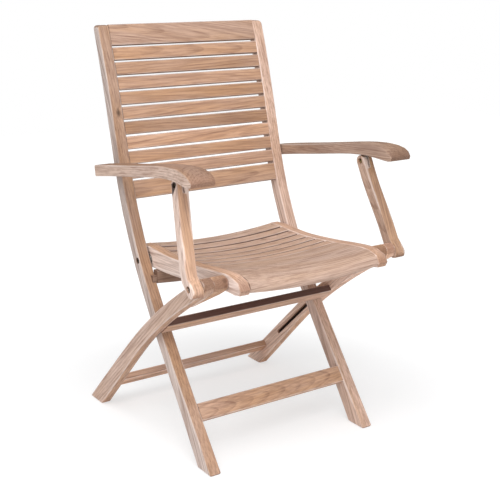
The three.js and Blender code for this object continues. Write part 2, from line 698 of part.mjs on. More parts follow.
// A slat of the seat under the rails' top line, centred at a place across, with the mortises that it needs.
function seatSlat(name, across, width) {
  const { centre, tangent, normal } = stationOf(SEAT_LINE, shareAcross(SEAT_LINE, across));
  centre.addScaledVector(normal, SEAT_SETDOWN + SEAT_SLAT_THICKNESS / 2);
  const section = easedRectangle(width / 2, SEAT_SLAT_THICKNESS / 2, EASE);
  const side = new THREE.Vector2(width, SEAT_SLAT_THICKNESS).multiplyScalar(1 / 2).subScalar(TENON_SHOULDER);
  const tongues = (play) => endTongues(
    side.clone().negate(), side, RAIL_IN - TENON_SHOULDER, RAIL_IN + TENON_LENGTH, play,
  );
  const mesh = piece(name, dished(section, RAIL_IN - GAP).add(tongues(0)), TEAK_SHADE);
  mesh.position.set(0, centre.x, centre.y);
  mesh.rotation.x = Math.atan2(-tangent.y, -tangent.x);
  return { mesh, mortise: posed(tongues(GAP), mesh) };
}

// The wide front board with its rolled nose.
function frontBoard() {
  const section = FRONT_BOARD_SHARES.map((shares) => onSeat(shares).sub(SEAT_PIVOT).toArray());
  const [low, high] = FRONT_TENON_SHARES.map((shares) => onSeat(shares).sub(SEAT_PIVOT));
  const tongues = (play) => endTongues(low, high, RAIL_IN - TENON_SHOULDER, RAIL_IN + TENON_LENGTH, play);
  const mesh = piece('seat_front_board', dished(section, RAIL_IN - GAP).add(tongues(0)), TEAK);
  mesh.position.set(0, SEAT_PIVOT.x, SEAT_PIVOT.y);
  return { mesh, mortise: posed(tongues(GAP), mesh) };
}

// All boards of the seat; the narrow slats share what the front board and the rear slat leave.
function seatBoards() {
  const rear = onSeat(RAIL_TOP_SHARES[0]).x;
  const first = rear - REAR_SLAT_WIDTH;
  const last = onSeat(FRONT_BOARD_SHARES[0]).x;
  const pitch = (first - last - SEAT_SLAT_GAP) / SEAT_SLATS;
  const boards = [seatSlat('seat_rear_slat', rear - REAR_SLAT_WIDTH / 2, REAR_SLAT_WIDTH), frontBoard()];
  for (let i = 0; i < SEAT_SLATS; i += 1) {
    const across = first - SEAT_SLAT_GAP - i * pitch - (pitch - SEAT_SLAT_GAP) / 2;
    boards.push(seatSlat(`seat_slat_${i + 1}`, across, pitch - SEAT_SLAT_GAP));
  }
  return boards;
}

// One arm: flared towards the hand to a wide, crowned and round drooping nose.
function arm() {
  const rings = [];
  for (let i = 0; i <= ARM_STATIONS; i += 1) {
    const share = Math.sin(QUARTER * i / ARM_STATIONS);
    const { centre, tangent } = stationOf(ARM_LINE, share);
    const nose = along(ARM_NOSE_SHARES, share) * ARM_WIDTH;
    const flare = along(ARM_FLARE_SHARES, share);
    const inner = ARM_IN - ARM_FLARE_IN * flare + nose;
    const outer = ARM_OUT + ARM_FLARE_OUT * flare - nose;
    const half = ARM_THICKNESS / 2 * along(ARM_BODY_SHARES, share);
    // The line runs forwards, so its normal points down.
    const crown = ARM_CROWN * along(ARM_CROWN_SHARES, share);
    const section = crownedRectangle((outer - inner) / 2, half, Math.min(EASE, half / 2), crown)
      .map(([u, v]) => [u, -v]);
    rings.push(ringOf(section, centre, tangent, (inner + outer) / 2));
  }
  return loft(rings)
    .subtract(flange(-OVERRUN, PLATE_THICKNESS + GAP, GAP))
    .subtract(bore(ARM_PIVOT, SMALL_BOLT_RADIUS, ARM_IN - OVERRUN, ARM_IN + ARM_BOLT_GRIP + BORE_PLAY));
}

// Flange of the hinge plate between two heights above its seat; with play it is the recess in the arm.
function flange(low, high, play = 0) {
  const level = STRUT_TOP.y + FLANGE_LIFT;
  const side = PLATE_WIDTH / 2 + play;
  const reach = PLATE_LENGTH / 2 + play;
  return block(
    new THREE.Vector3(STRUT_TOP_X - side, STRUT_TOP.x - reach, level + low),
    new THREE.Vector3(STRUT_TOP_X + side, STRUT_TOP.x + reach, level + high),
  );
}

// Hinge plate: a flange under the arm and a tongue that the strut's slit takes.
function hingePlate() {
  const [inner, outer] = [STRUT_TOP_X - WEB_THICKNESS / 2, STRUT_TOP_X + WEB_THICKNESS / 2];
  const neck = block(
    new THREE.Vector3(inner, STRUT_TOP.x - TONGUE_RADIUS, STRUT_TOP.y),
    new THREE.Vector3(outer, STRUT_TOP.x + TONGUE_RADIUS, STRUT_TOP.y + FLANGE_LIFT + PLATE_THICKNESS / 2),
  );
  return joined([flange(0, PLATE_THICKNESS), neck, rod(STRUT_TOP, TONGUE_RADIUS, inner, outer)])
    .subtract(bore(STRUT_TOP, SMALL_BOLT_RADIUS, inner - OVERRUN, outer + OVERRUN));
}

// One arm strut: upright at its foot, then leaning in to stand under the arm, slit at its top.
function strut() {
  const foot = (STRUT_IN + STRUT_OUT) / 2;
  const half = STRUT_THICKNESS / 2;
  const end = stationOf(STRUT_LINE, 1);
  const start = stationOf(STRUT_LINE, 0);
  const base = FRONT_PIVOT.clone().addScaledVector(start.tangent, -STRUT_FOOT_LENGTH);
  const rings = roundEnd(base, start.tangent, -1, foot, half, STRUT_DEPTH / 2);
  for (let i = 0; i < STRUT_STATIONS; i += 1) {
    const share = i / STRUT_STATIONS;
    const { centre, tangent } = stationOf(STRUT_LINE, share);
    const x = foot + (STRUT_TOP_X - foot) * along(STRUT_LEAN_SHARES, share);
    rings.push(ringAt(centre, tangent, x, half, STRUT_DEPTH / 2));
  }
  rings.push(...roundEnd(STRUT_TOP, end.tangent, 1, STRUT_TOP_X, half, STRUT_DEPTH / 2));
  const slitFoot = STRUT_TOP.y + STRUT_DEPTH / 2 - SLIT_DEPTH;
  const slit = block(
    new THREE.Vector3(STRUT_TOP_X - SLIT_WIDTH / 2, STRUT_TOP.x - STRUT_DEPTH, slitFoot),
    new THREE.Vector3(STRUT_TOP_X + SLIT_WIDTH / 2, STRUT_TOP.x + STRUT_DEPTH, STRUT_TOP.y + STRUT_DEPTH),
  );
  const [inner, outer] = [STRUT_TOP_X - half, STRUT_TOP_X + half];
  return loft(rings)
    .subtract(slit)
    .subtract(bore(STRUT_TOP, SMALL_BOLT_RADIUS, inner - OVERRUN, outer + OVERRUN))
    .subtract(bore(STRUT_TOP, SMALL_HEAD_RADIUS, outer - SMALL_RECESS, outer + OVERRUN))
    .subtract(bore(STRUT_TOP, NUT_RADIUS, inner - OVERRUN, inner + NUT_RECESS))
    .subtract(bore(FRONT_PIVOT, BOLT_RADIUS, STRUT_IN - OVERRUN, STRUT_OUT + OVERRUN))
    .subtract(bore(FRONT_PIVOT, BOLT_HEAD_RADIUS, STRUT_OUT - BOLT_RECESS, STRUT_OUT + OVERRUN));
}

// Bolt and nut through the layers between the seat rail's inside and an outer face.
function pivotFasteners(name, pivot, outer) {
  const nutIn = RAIL_IN + HEAD_SET;
  const shaft = bolt(pivot, nutIn, outer - HEAD_SET, BOLT_RADIUS, BOLT_HEAD_RADIUS, BOLT_HEAD_HEIGHT);
  return [
    ...pair(`${name}_bolt`, shaft, STEEL, outer, pivot),
    ...pair(`${name}_nut`, nut(pivot, nutIn, nutIn + NUT_HEIGHT, BOLT_RADIUS), STEEL, nutIn, pivot),
  ];
}

function group(name, members) {
  const body = new THREE.Group();
  body.name = name;
  body.add(...members);
  return body;
}

function backFrame() {
  const boards = [
    ...backBoards(),
    stileBoard('front_stretcher', FRONT_STRETCHER_SHARE, STRETCHER_THICKNESS, FRONT_STRETCHER_WIDTH, TEAK),
    restRail(),
  ];
  const pin = rod(GROOVE_PIN, PIN_RADIUS, STILE_OUT - PIN_GRIP, STILE_OUT + LEG_PLAY / 2);
  const seatWasher = washer(SEAT_PIVOT, WASHER_RADIUS, BOLT_RADIUS, RAIL_OUT, STILE_IN);
  const armWasher = washer(ARM_PIVOT, SMALL_WASHER_RADIUS, SMALL_BOLT_RADIUS, STILE_OUT, ARM_IN);
  return group('back_frame', [
    ...pair('stile', stile(boards.map((board) => board.mortise)), TEAK, STILE_OUT, SEAT_PIVOT),
    ...boards.map((board) => board.mesh),
    ...pivotFasteners('seat_pivot', SEAT_PIVOT, STILE_OUT),
    ...pair('seat_pivot_washer', seatWasher, STEEL, RAIL_OUT, SEAT_PIVOT),
    ...pair('arm_pivot_washer', armWasher, STEEL, STILE_OUT, ARM_PIVOT),
    ...pair('groove_pin', pin, STEEL, STILE_OUT, GROOVE_PIN),
  ]);
}

function seat() {
  const boards = seatBoards();
  return group('seat', [
    ...pair('seat_rail', seatRail(boards.map((board) => board.mortise)), TEAK, RAIL_OUT, SEAT_PIVOT),
    ...boards.map((board) => board.mesh),
    ...pivotFasteners('leg_pivot', FRONT_PIVOT, STRUT_OUT),
  ]);
}

function rearLegs() {
  const drop = (STRETCHER_THICKNESS - LEG_DEPTH) / 2 - MIDDLE_STRETCHER_DROP;
  const lift = LEG_DEPTH * REAR_STRETCHER_LIFT_SHARE;
  const boards = [
    legStretcher('middle_stretcher', MIDDLE_STRETCHER_SHARE, STRETCHER_WIDTH, drop),
    legStretcher('rear_stretcher', REAR_STRETCHER_SHARE, REAR_STRETCHER_WIDTH, lift),
  ];
  return group('rear_legs', [
    ...pair('rear_leg', rearLeg(boards.map((board) => board.mortise)), TEAK, LEG_OUT, FRONT_PIVOT),
    ...pair('leg_spacer', legSpacer(), TEAK_SHADE, LEG_IN, FRONT_PIVOT),
    ...boards.map((board) => board.mesh),
  ]);
}

function grooveRollers() {
  const [inner, outer] = [STILE_OUT + LEG_PLAY / 2 + GAP, LEG_IN + GROOVE_DEPTH - GAP];
  return group('groove_rollers', pair(
    'groove_roller', rod(GROOVE_PIN, GROOVE_WIDTH / 2 - GAP, inner, outer), STEEL, LEG_IN, GROOVE_PIN,
  ));
}

// The arm's bolt has its head in the stile's inner face and is screwed into the arm.
function arms() {
  const [head, tip] = [STILE_IN + HEAD_SET, ARM_IN + ARM_BOLT_GRIP];
  const shaft = mirrored(bolt(
    ARM_PIVOT, -tip, -head, SMALL_BOLT_RADIUS, SMALL_HEAD_RADIUS, SMALL_HEAD_HEIGHT,
  ));
  return group('arms', [
    ...pair('arm', arm(), TEAK, ARM_OUT, ARM_PIVOT),
    ...pair('arm_hinge_plate', hingePlate(), STEEL, STRUT_TOP_X, STRUT_TOP),
    ...pair('arm_pivot_bolt', shaft, STEEL, STILE_OUT, ARM_PIVOT),
  ]);
}

function struts() {
  const [inner, outer] = [STRUT_TOP_X - STRUT_THICKNESS / 2, STRUT_TOP_X + STRUT_THICKNESS / 2];
  const shaft = bolt(
    STRUT_TOP, inner + HEAD_SET, outer - HEAD_SET, SMALL_BOLT_RADIUS, SMALL_HEAD_RADIUS, SMALL_HEAD_HEIGHT,
  );
  const nutSolid = nut(STRUT_TOP, inner + HEAD_SET, inner + HEAD_SET + NUT_HEIGHT, SMALL_BOLT_RADIUS);
  return group('struts', [
    ...pair('strut', strut(), TEAK, STRUT_OUT, FRONT_PIVOT),
    ...pair('strut_top_bolt', shaft, STEEL, outer, STRUT_TOP),
    ...pair('strut_top_nut', nutSolid, STEEL, inner, STRUT_TOP),
  ]);
}

const chair = group('folding_armchair', [
  backFrame(), seat(), rearLegs(), grooveRollers(), arms(), struts(),
]);
chair.updateMatrixWorld(true);
chair.position.y = -new THREE.Box3().setFromObject(chair).getCenter(new THREE.Vector3()).y;
chair.updateMatrixWorld(true);

export default chair;
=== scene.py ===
"""Looks of a folding teak armchair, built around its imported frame.

The frame gives every piece at its real size and place. This script planes up a finished copy of each wooden
piece, turns finer fasteners, gives every surface its finish and stands the chair on a pale floor.
"""

from __future__ import annotations

import json
import logging
import math
import random
from dataclasses import dataclass, field
from enum import Enum, StrEnum

import bpy
import numpy as np
from mathutils import Euler, Matrix, Vector

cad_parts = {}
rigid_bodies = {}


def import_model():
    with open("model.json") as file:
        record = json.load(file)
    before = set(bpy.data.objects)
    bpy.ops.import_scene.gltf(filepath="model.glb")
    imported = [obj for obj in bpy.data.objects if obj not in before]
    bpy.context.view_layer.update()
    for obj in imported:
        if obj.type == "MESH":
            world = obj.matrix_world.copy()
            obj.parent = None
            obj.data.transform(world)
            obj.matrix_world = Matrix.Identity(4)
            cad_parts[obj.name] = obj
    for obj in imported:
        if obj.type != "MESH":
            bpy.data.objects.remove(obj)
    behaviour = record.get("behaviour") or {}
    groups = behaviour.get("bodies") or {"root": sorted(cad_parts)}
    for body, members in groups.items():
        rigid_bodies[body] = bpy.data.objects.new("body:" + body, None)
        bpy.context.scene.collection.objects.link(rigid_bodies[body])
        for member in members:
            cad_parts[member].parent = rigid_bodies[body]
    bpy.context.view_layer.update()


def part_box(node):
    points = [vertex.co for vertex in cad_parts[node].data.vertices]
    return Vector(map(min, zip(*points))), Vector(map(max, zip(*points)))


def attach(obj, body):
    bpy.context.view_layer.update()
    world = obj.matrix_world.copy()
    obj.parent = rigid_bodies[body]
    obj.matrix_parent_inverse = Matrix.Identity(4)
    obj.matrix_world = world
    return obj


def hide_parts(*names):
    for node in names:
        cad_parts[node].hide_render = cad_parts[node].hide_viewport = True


log = logging.getLogger("armchair")

MM = 0.001

# Edges that turn less than this are shaded smooth, on steel and on wood, whose solids have doubled points.
STEEL_SMOOTH = math.radians(35)
WOOD_SMOOTH = math.radians(52)
DOUBLES = 0.02 * MM

# A board lies anywhere along a long log, turned a little in it, at a distance from the pith that varies.
LOG_LENGTH = 40.0
LOG_TWIST = 0.2
LOG_GIRTHS = (0.85, 1.25)

# The cosine at which a face begins to count as an end face, as a side face that gets painted light or as a face
# that gets painted shade, and how much more counts in full.
END_FACES = (0.35, 0.5)
SIDE_FACES = (0.5, 0.4)
SHADED_FACES = (0.6, 0.3)

# The share of the grain's way that makes it run across the chair.
CROSSWISE = 0.5
# The share of a leg's half length at which its groove has ended.
GROOVE_END = 0.8
# How far beyond its bolt a bore may reach.
BORE_PLAY = 1 * MM
# The share of the widest section at which a stretch of a board counts as whole.
WHOLE_SECTION = 0.5

Triple = tuple[float, float, float]
Colour = tuple[float, float, float, float]
Node = bpy.types.Node
Socket = bpy.types.NodeSocket
Tree = bpy.types.NodeTree
Material = bpy.types.Material
Piece = bpy.types.Object


class Side(StrEnum):
    """The chair's two sides as seen from the front, as the frame names them."""

    LEFT = "left"
    RIGHT = "right"


class Axis(Enum):
    """What a round piece is turned about: the way, and the turn about Y that makes a level circle face it."""

    ACROSS = ((1, 0, 0), math.pi / 2)
    UP = ((0, 0, 1), 0.0)


def linear(red: int, green: int, blue: int) -> Colour:
    """Turns a display colour into the linear one that a shader takes.

    Args:
        red: Red from 0 to 255.
        green: Green from 0 to 255.
        blue: Blue from 0 to 255.

    Returns:
        The linear colour with a full alpha.
    """
    parts = [channel / 255 for channel in (red, green, blue)]
    light = [part / 12.92 if part <= 0.04045 else ((part + 0.055) / 1.055) ** 2.4 for part in parts]
    return (*light, 1.0)


def shade(red: int, green: int, blue: int) -> Colour:
    """Declares a colour of a finish, given as a display colour, as a dataclass field."""
    return field(default_factory=lambda: linear(red, green, blue))


def deselect_all() -> None:
    """Leaves object mode with nothing selected."""
    if bpy.context.object and bpy.context.object.mode != "OBJECT":
        bpy.ops.object.mode_set(mode="OBJECT")
    bpy.ops.object.select_all(action="DESELECT")


def select_only(piece: Piece) -> None:
    """Makes a piece the active and only selected object.

    Args:
        piece: The object to select.
    """
    deselect_all()
    piece.select_set(True)
    bpy.context.view_layer.objects.active = piece


@dataclass(frozen=True)
class Layer:
    """A layer of noise in a finish, stepped into a mask.

    The stretch is in grains per metre along each axis, and the levels are those that give 0 and 1.
    """

    stretch: Triple
    detail: float
    rough: float
    levels: tuple[float, float]


class Patch:
    """A shader node tree with short ways to add nodes and join them."""

    def __init__(self, tree: Tree) -> None:
        """Starts on an existing tree, of a material or of a group."""
        self.tree = tree

    def add(self, kind: str, *values: object, **settings: object) -> Node:
        """Adds a node.

        Args:
            kind: The node's type without the leading ShaderNode.
            *values: Its first inputs in order, each an output socket or a plain value.
            **settings: Properties of the node.

        Returns:
            The new node.
        """
        node = self.tree.nodes.new(f"ShaderNode{kind}")
        for name, value in settings.items():
            setattr(node, name, value)
        for socket, value in zip(node.inputs, values):
            self.feed(socket, value)
        return node

    def feed(self, socket: Socket, value: object) -> None:
        """Links a socket to an output, or sets its own value.

        Args:
            socket: The input to fill.
            value: An output socket or a plain value.
        """
        if isinstance(value, Socket):
            self.tree.links.new(value, socket)
        else:
            socket.default_value = value

    def maths(self, operation: str, *values: object, clamp: bool = False) -> Socket:
        """Adds a math node on the values, with its result held between 0 and 1 if it is clamped."""
        return self.add("Math", *values, operation=operation, use_clamp=clamp).outputs[0]

    def plus(self, total: object, *others: object) -> Socket:
        """Adds the other values to the first."""
        for other in others:
            total = self.maths("ADD", total, other)
        return total

    def times(self, first: object, second: object) -> Socket:
        """Multiplies two values."""
        return self.maths("MULTIPLY", first, second)

    def rest(self, value: object) -> Socket:
        """Takes a value away from 1."""
        return self.maths("SUBTRACT", 1.0, value)

    def vector(self, operation: str, *values: object) -> Socket:
        """Adds a vector math node on the values, for a vector or for a length."""
        node = self.add("VectorMath", *values, operation=operation)
        return node.outputs["Value" if operation == "LENGTH" else "Vector"]

    def parts(self, vector: Socket) -> list[Socket]:
        """Splits a vector into its three values."""
        return list(self.add("SeparateXYZ", vector).outputs)

    def noise(self, place: object, stretch: Triple, detail: float = 2.0, rough: float = 0.5) -> Socket:
        """Adds a noise around one half, with its own number of grains per metre along each axis."""
        stretched = self.vector("MULTIPLY", place, stretch)
        return self.add("TexNoise", stretched, 0.0, 1.0, detail, rough, noise_dimensions="3D").outputs["Fac"]

    def sway(self, place: object, stretch: Triple, size: float, detail: float = 2.0) -> Socket:
        """Adds a noise that wavers around zero by at most half a size."""
        return self.times(self.maths("SUBTRACT", self.noise(place, stretch, detail), 0.5), size)

    def mask(self, place: object, layer: Layer) -> Socket:
        """Adds a layer of noise as a mask."""
        return self.step(self.noise(place, layer.stretch, layer.detail, layer.rough), *layer.levels)

    def step(self, value: object, low: float, high: float) -> Socket:
        """Adds a smooth step, from 0 where the value is low to 1 where it is high."""
        return self.add("MapRange", value, low, high, interpolation_type="SMOOTHSTEP").outputs["Result"]

    def mix(self, share: object, first: object, second: object) -> Socket:
        """Mixes two colours.

        Args:
            share: Share of the second colour.
            first: The first colour.
            second: The second colour.

        Returns:
            The mixed colour.
        """
        node = self.add("Mix", share, data_type="RGBA")
        self.feed(node.inputs[6], first)
        self.feed(node.inputs[7], second)
        return node.outputs[2]

    def own(self, name: str, output: str = "Vector") -> Socket:
        """Reads one of the piece's own attributes, as a Vector or as a Fac."""
        return self.add("Attribute", attribute_type="GEOMETRY", attribute_name=name).outputs[output]

    def bump(self, height: Socket, strength: float, relief: float) -> Socket:
        """Adds a bump.

        Args:
            height: The height, from 0 to 1.
            strength: How strongly it shows.
            relief: The height in metres of 1.

        Returns:
            The bent normal.
        """
        node = self.add("Bump", strength, relief)
        self.feed(node.inputs["Height"], height)
        return node.outputs["Normal"]


def new_group(name: str, inputs: dict[str, str], masks: tuple[str, ...]) -> tuple[Patch, dict, dict]:
    """Starts a shader node group that puts out masks.

    Args:
        name: The group's name.
        inputs: Each input's name and its kind of socket.
        masks: The outputs' names.

    Returns:
        The group's tree, its inputs to read from and its outputs to feed, by name.
    """
    tree = bpy.data.node_groups.new(name, "ShaderNodeTree")
    for label, kind in inputs.items():
        tree.interface.new_socket(label, in_out="INPUT", socket_type=f"NodeSocket{kind}")
    for label in masks:
        tree.interface.new_socket(label, in_out="OUTPUT", socket_type="NodeSocketFloat")
    source = tree.nodes.new("NodeGroupInput")
    sink = tree.nodes.new("NodeGroupOutput")
    given = {label: source.outputs[label] for label in inputs}
    wanted = {label: sink.inputs[label] for label in masks}
    return Patch(tree), given, wanted


def new_material(name: str) -> tuple[Material, Patch, Node]:
    """Starts a material.

    Args:
        name: Its name.

    Returns:
        The material, its tree and its shader.
    """
    material = bpy.data.materials.new(name)
    material.use_nodes = True
    patch = Patch(material.node_tree)
    return material, patch, patch.tree.nodes["Principled BSDF"]


@dataclass(frozen=True)
class TeakGrain:
    """Figure of sawn teak: growth rings, streaks, pores, colour patches and a knot.

    The board's coordinates run along the wood's fibres and out from the pith.
    """

    name: str = "teak_grain"
    wander: float = 5 * MM
    wander_stretch: Triple = (2.1, 6.0, 6.0)
    ripple: float = 0.7 * MM
    ripple_stretch: Triple = (13.0, 55.0, 55.0)
    late_wood: tuple[float, float, float] = (0.52, 0.93, 1.0)
    years: tuple[float, float] = (0.3, 0.66)
    year_step: float = 1.37
    faintest_year: float = 0.25
    patches: Layer = Layer((3.4, 21.0, 21.0), 3.0, 0.6, (0.34, 0.68))
    shades: Layer = Layer((5.2, 27.0, 27.0), 3.0, 0.55, (0.5, 0.78))
    shades_apart: Triple = (3.7, 1.3, 0.4)
    streaks: Layer = Layer((3.2, 125.0, 125.0), 4.0, 0.7, (0.4, 0.64))
    fibres: Layer = Layer((11.0, 300.0, 300.0), 3.0, 0.7, (0.42, 0.62))
    pores: Layer = Layer((90.0, 1500.0, 1500.0), 1.0, 0.5, (0.56, 0.7))
    dip: float = 0.6
    knot_squeeze: Triple = (0.55, 1.0, 1.0)
    knot_stretch: Triple = (70.0, 110.0, 110.0)
    knot_ragged: float = 5 * MM
    knot_detail: float = 3.0
    knot_reach: float = 17 * MM
    knot_core: tuple[float, float] = (1 * MM, 8 * MM)
    knot_push: float = 9 * MM

    def group(self) -> Tree:
        """Builds the node group.

        Returns:
            The group, with the masks Rings, Streaks, Fibres, Patches, Shades, Knot and Height.
        """
        inputs = {"Board": "Vector", "Knot": "Vector", "Spacing": "Float"}
        masks = ("Rings", "Streaks", "Fibres", "Patches", "Shades", "Knot", "Height")
        patch, given, wanted = new_group(self.name, inputs, masks)
        board = given["Board"]
        near, core = self.knot(patch, board, given["Knot"])
        fibres = patch.mask(board, self.fibres)
        pores = patch.mask(board, self.pores)
        results = {
            "Rings": self.rings(patch, board, near, given["Spacing"]),
            "Streaks": patch.mask(board, self.streaks),
            "Fibres": fibres,
            "Patches": patch.mask(board, self.patches),
            "Shades": patch.mask(patch.vector("ADD", board, self.shades_apart), self.shades),
            "Knot": core,
            "Height": patch.rest(patch.plus(patch.times(fibres, self.dip), patch.times(pores, self.dip))),
        }
        for label, result in results.items():
            patch.feed(wanted[label], result)
        return patch.tree

    def knot(self, patch: Patch, board: Socket, place: Socket) -> tuple[Socket, Socket]:
        """Adds the board's knot.

        Args:
            patch: The tree to add to.
            board: The place in the board.
            place: The knot's middle in the board.

        Returns:
            How near the knot is, and a mask of its dark core.
        """
        apart = patch.vector("MULTIPLY", patch.vector("SUBTRACT", board, place), self.knot_squeeze)
        ragged = patch.sway(board, self.knot_stretch, self.knot_ragged, self.knot_detail)
        distance = patch.plus(patch.vector("LENGTH", apart), ragged)
        near = patch.rest(patch.step(distance, 0.0, self.knot_reach))
        core = patch.rest(patch.step(distance, *self.knot_core))
        return near, core

    def rings(self, patch: Patch, board: Socket, near: Socket, spacing: Socket) -> Socket:
        """Adds the growth rings, pushed out round the knot and each year's of its own strength.

        Args:
            patch: The tree to add to.
            board: The place in the board.
            near: How near the knot is.
            spacing: The distance between two rings.

        Returns:
            A mask of the dark late wood.
        """
        wander = patch.sway(board, self.wander_stretch, self.wander)
        shift = patch.plus(wander, patch.sway(board, self.ripple_stretch, self.ripple))
        radius = patch.vector("LENGTH", patch.vector("MULTIPLY", board, (0.0, 1.0, 1.0)))
        count = patch.maths("DIVIDE", patch.plus(radius, shift, patch.times(near, self.knot_push)), spacing)
        turn = patch.maths("FRACT", count)
        start, peak, end = self.late_wood
        band = patch.times(patch.step(turn, start, peak), patch.rest(patch.step(turn, peak, end)))
        year = patch.add("TexNoise", noise_dimensions="1D")
        patch.feed(year.inputs["W"], patch.times(patch.maths("FLOOR", count), self.year_step))
        strength = patch.times(patch.step(year.outputs["Fac"], *self.years), 1 - self.faintest_year)
        return patch.times(band, patch.plus(strength, self.faintest_year))


@dataclass(frozen=True)
class EdgeWear:
    """Rubbed, pale arrises of a board, with a painted highlight on them as well."""

    name: str = "edge_wear_and_highlight"
    core: float = 0.2 * MM
    width: float = 3.4 * MM
    raggedness: float = 3 * MM
    stretch: Triple = (26.0, 150.0, 150.0)
    detail: float = 3.0

    def group(self) -> Tree:
        """Builds the node group.

        At an arris, two of the three distances to the board's faces are small, so the mask goes by the sum of
        the two smallest.

        Returns:
            The group, with one mask of the rubbed arrises and their painted highlight.
        """
        inputs = {"Board": "Vector", "Section": "Vector", "Halves": "Vector"}
        patch, given, wanted = new_group(self.name, inputs, ("Worn",))
        inward = patch.vector("SUBTRACT", (1.0, 1.0, 1.0), patch.vector("ABSOLUTE", given["Section"]))
        wide, thick, along = patch.parts(patch.vector("MULTIPLY", inward, given["Halves"]))
        farthest = patch.maths("MAXIMUM", patch.maths("MAXIMUM", wide, thick), along)
        nearest = patch.maths("SUBTRACT", patch.plus(wide, thick, along), farthest)
        moved = patch.plus(nearest, patch.sway(given["Board"], self.stretch, self.raggedness, self.detail))
        patch.feed(wanted["Worn"], patch.rest(patch.step(moved, self.core, self.width)))
        return patch.tree


@dataclass(frozen=True)
class TeakFinish:
    """Sanded, unoiled teak."""

    name: str
    pale: Colour = shade(212, 177, 156)
    gold: Colour = shade(205, 160, 121)
    brown: Colour = shade(158, 120, 99)
    late: Colour = shade(128, 92, 74)
    # Pale wood: real rubbed arrises and a grey weathering, and also painted light on the side faces and a painted
    # highlight on the arrises.
    bleached: Colour = shade(236, 220, 212)
    knot: Colour = shade(84, 60, 46)
    # Painted shade on the chosen narrow edges and broad faces.
    heart: Colour = shade(80, 54, 48)
    # Painted shade deep in a groove or a bore.
    grime: Colour = shade(44, 30, 25)
    patch_share: float = 0.6
    shade_share: float = 0.42
    ring_share: float = 0.32
    streak_share: float = 0.23
    fibre_share: float = 0.3
    most_marked: float = 0.85
    knot_share: float = 0.85
    worn_share: float = 0.62
    end_share: float = 0.66
    grime_share: float = 0.93
    grime_depths: tuple[float, float] = (0.8 * MM, 3.5 * MM)
    roughness: float = 0.6
    fibre_roughness: float = 0.12
    specular: float = 0.3
    bump: float = 0.5
    relief: float = 0.3 * MM

    def material(self, grain: Tree, wear_and_highlight: Tree) -> Material:
        """Builds the material.

        Args:
            grain: The group that gives the wood's figure.
            wear_and_highlight: The group that gives the rubbed arrises and their painted highlight.

        Returns:
            The new material.
        """
        material, patch, shader = new_material(self.name)
        tone, warmth, spacing = patch.parts(patch.own("tint"))
        board = patch.own("board")
        figure = patch.add("Group", board, patch.own("knot"), spacing, node_tree=grain).outputs
        edges = patch.add("Group", board, patch.own("section"), patch.own("halves"), node_tree=wear_and_highlight).outputs
        colour = self.weather(patch, self.wood(patch, figure, warmth), edges["Worn"])
        bright = patch.add("HueSaturation")
        patch.feed(bright.inputs["Color"], colour)
        patch.feed(bright.inputs["Value"], patch.plus(1.0, tone))
        # Painted shade darkens the wood with its depth in a groove or a bore.
        sunk = patch.times(patch.step(patch.own("sunk", "Fac"), *self.grime_depths), self.grime_share)
        patch.feed(shader.inputs["Base Color"], patch.mix(sunk, bright.outputs["Color"], self.grime))
        rough = patch.plus(patch.times(figure["Fibres"], self.fibre_roughness), self.roughness)
        patch.feed(shader.inputs["Roughness"], rough)
        shader.inputs["Specular IOR Level"].default_value = self.specular
        patch.feed(shader.inputs["Normal"], patch.bump(figure["Height"], self.bump, self.relief))
        return material

    def wood(self, patch: Patch, figure: bpy.types.NodeOutputs, warmth: Socket) -> Socket:
        """Mixes the colour of the wood, paled at the sides by painted light and all over by a grey weathering,
        under its figure.

        Args:
            patch: The material's tree.
            figure: The masks of the wood's figure.
            warmth: How golden the board is.

        Returns:
            The wood's colour.
        """
        golden = patch.maths("ADD", patch.times(figure["Patches"], self.patch_share), warmth, clamp=True)
        colour = patch.mix(golden, self.pale, self.gold)
        # Painted light on the faces towards the chair's sides, with the board's real grey weathering added all
        # over.
        colour = patch.mix(patch.own("side", "Fac"), colour, self.bleached)
        colour = patch.mix(patch.times(figure["Shades"], self.shade_share), colour, self.brown)
        shares = {"Rings": self.ring_share, "Streaks": self.streak_share, "Fibres": self.fibre_share}
        marks = patch.plus(*(patch.times(figure[label], share) for label, share in shares.items()))
        colour = patch.mix(patch.maths("MINIMUM", marks, self.most_marked), colour, self.late)
        return patch.mix(patch.times(figure["Knot"], self.knot_share), colour, self.knot)

    def weather(self, patch: Patch, colour: Socket, worn: Socket) -> Socket:
        """Pales the rubbed arrises, also as a painted highlight, darkens the end grain, and paints shade on the
        chosen edges and faces.

        Args:
            patch: The material's tree.
            colour: The wood's colour.
            worn: The mask of the rubbed arrises, which also carries a painted highlight.

        Returns:
            The weathered colour.
        """
        # Rubbed arrises and a painted highlight pale the edges.
        colour = patch.mix(patch.times(worn, self.worn_share), colour, self.bleached)
        colour = patch.mix(patch.times(patch.own("end_grain", "Fac"), self.end_share), colour, self.late)
        # Painted shade on the chosen narrow edges and broad faces.
        return patch.mix(patch.own("heart", "Fac"), colour, self.heart)


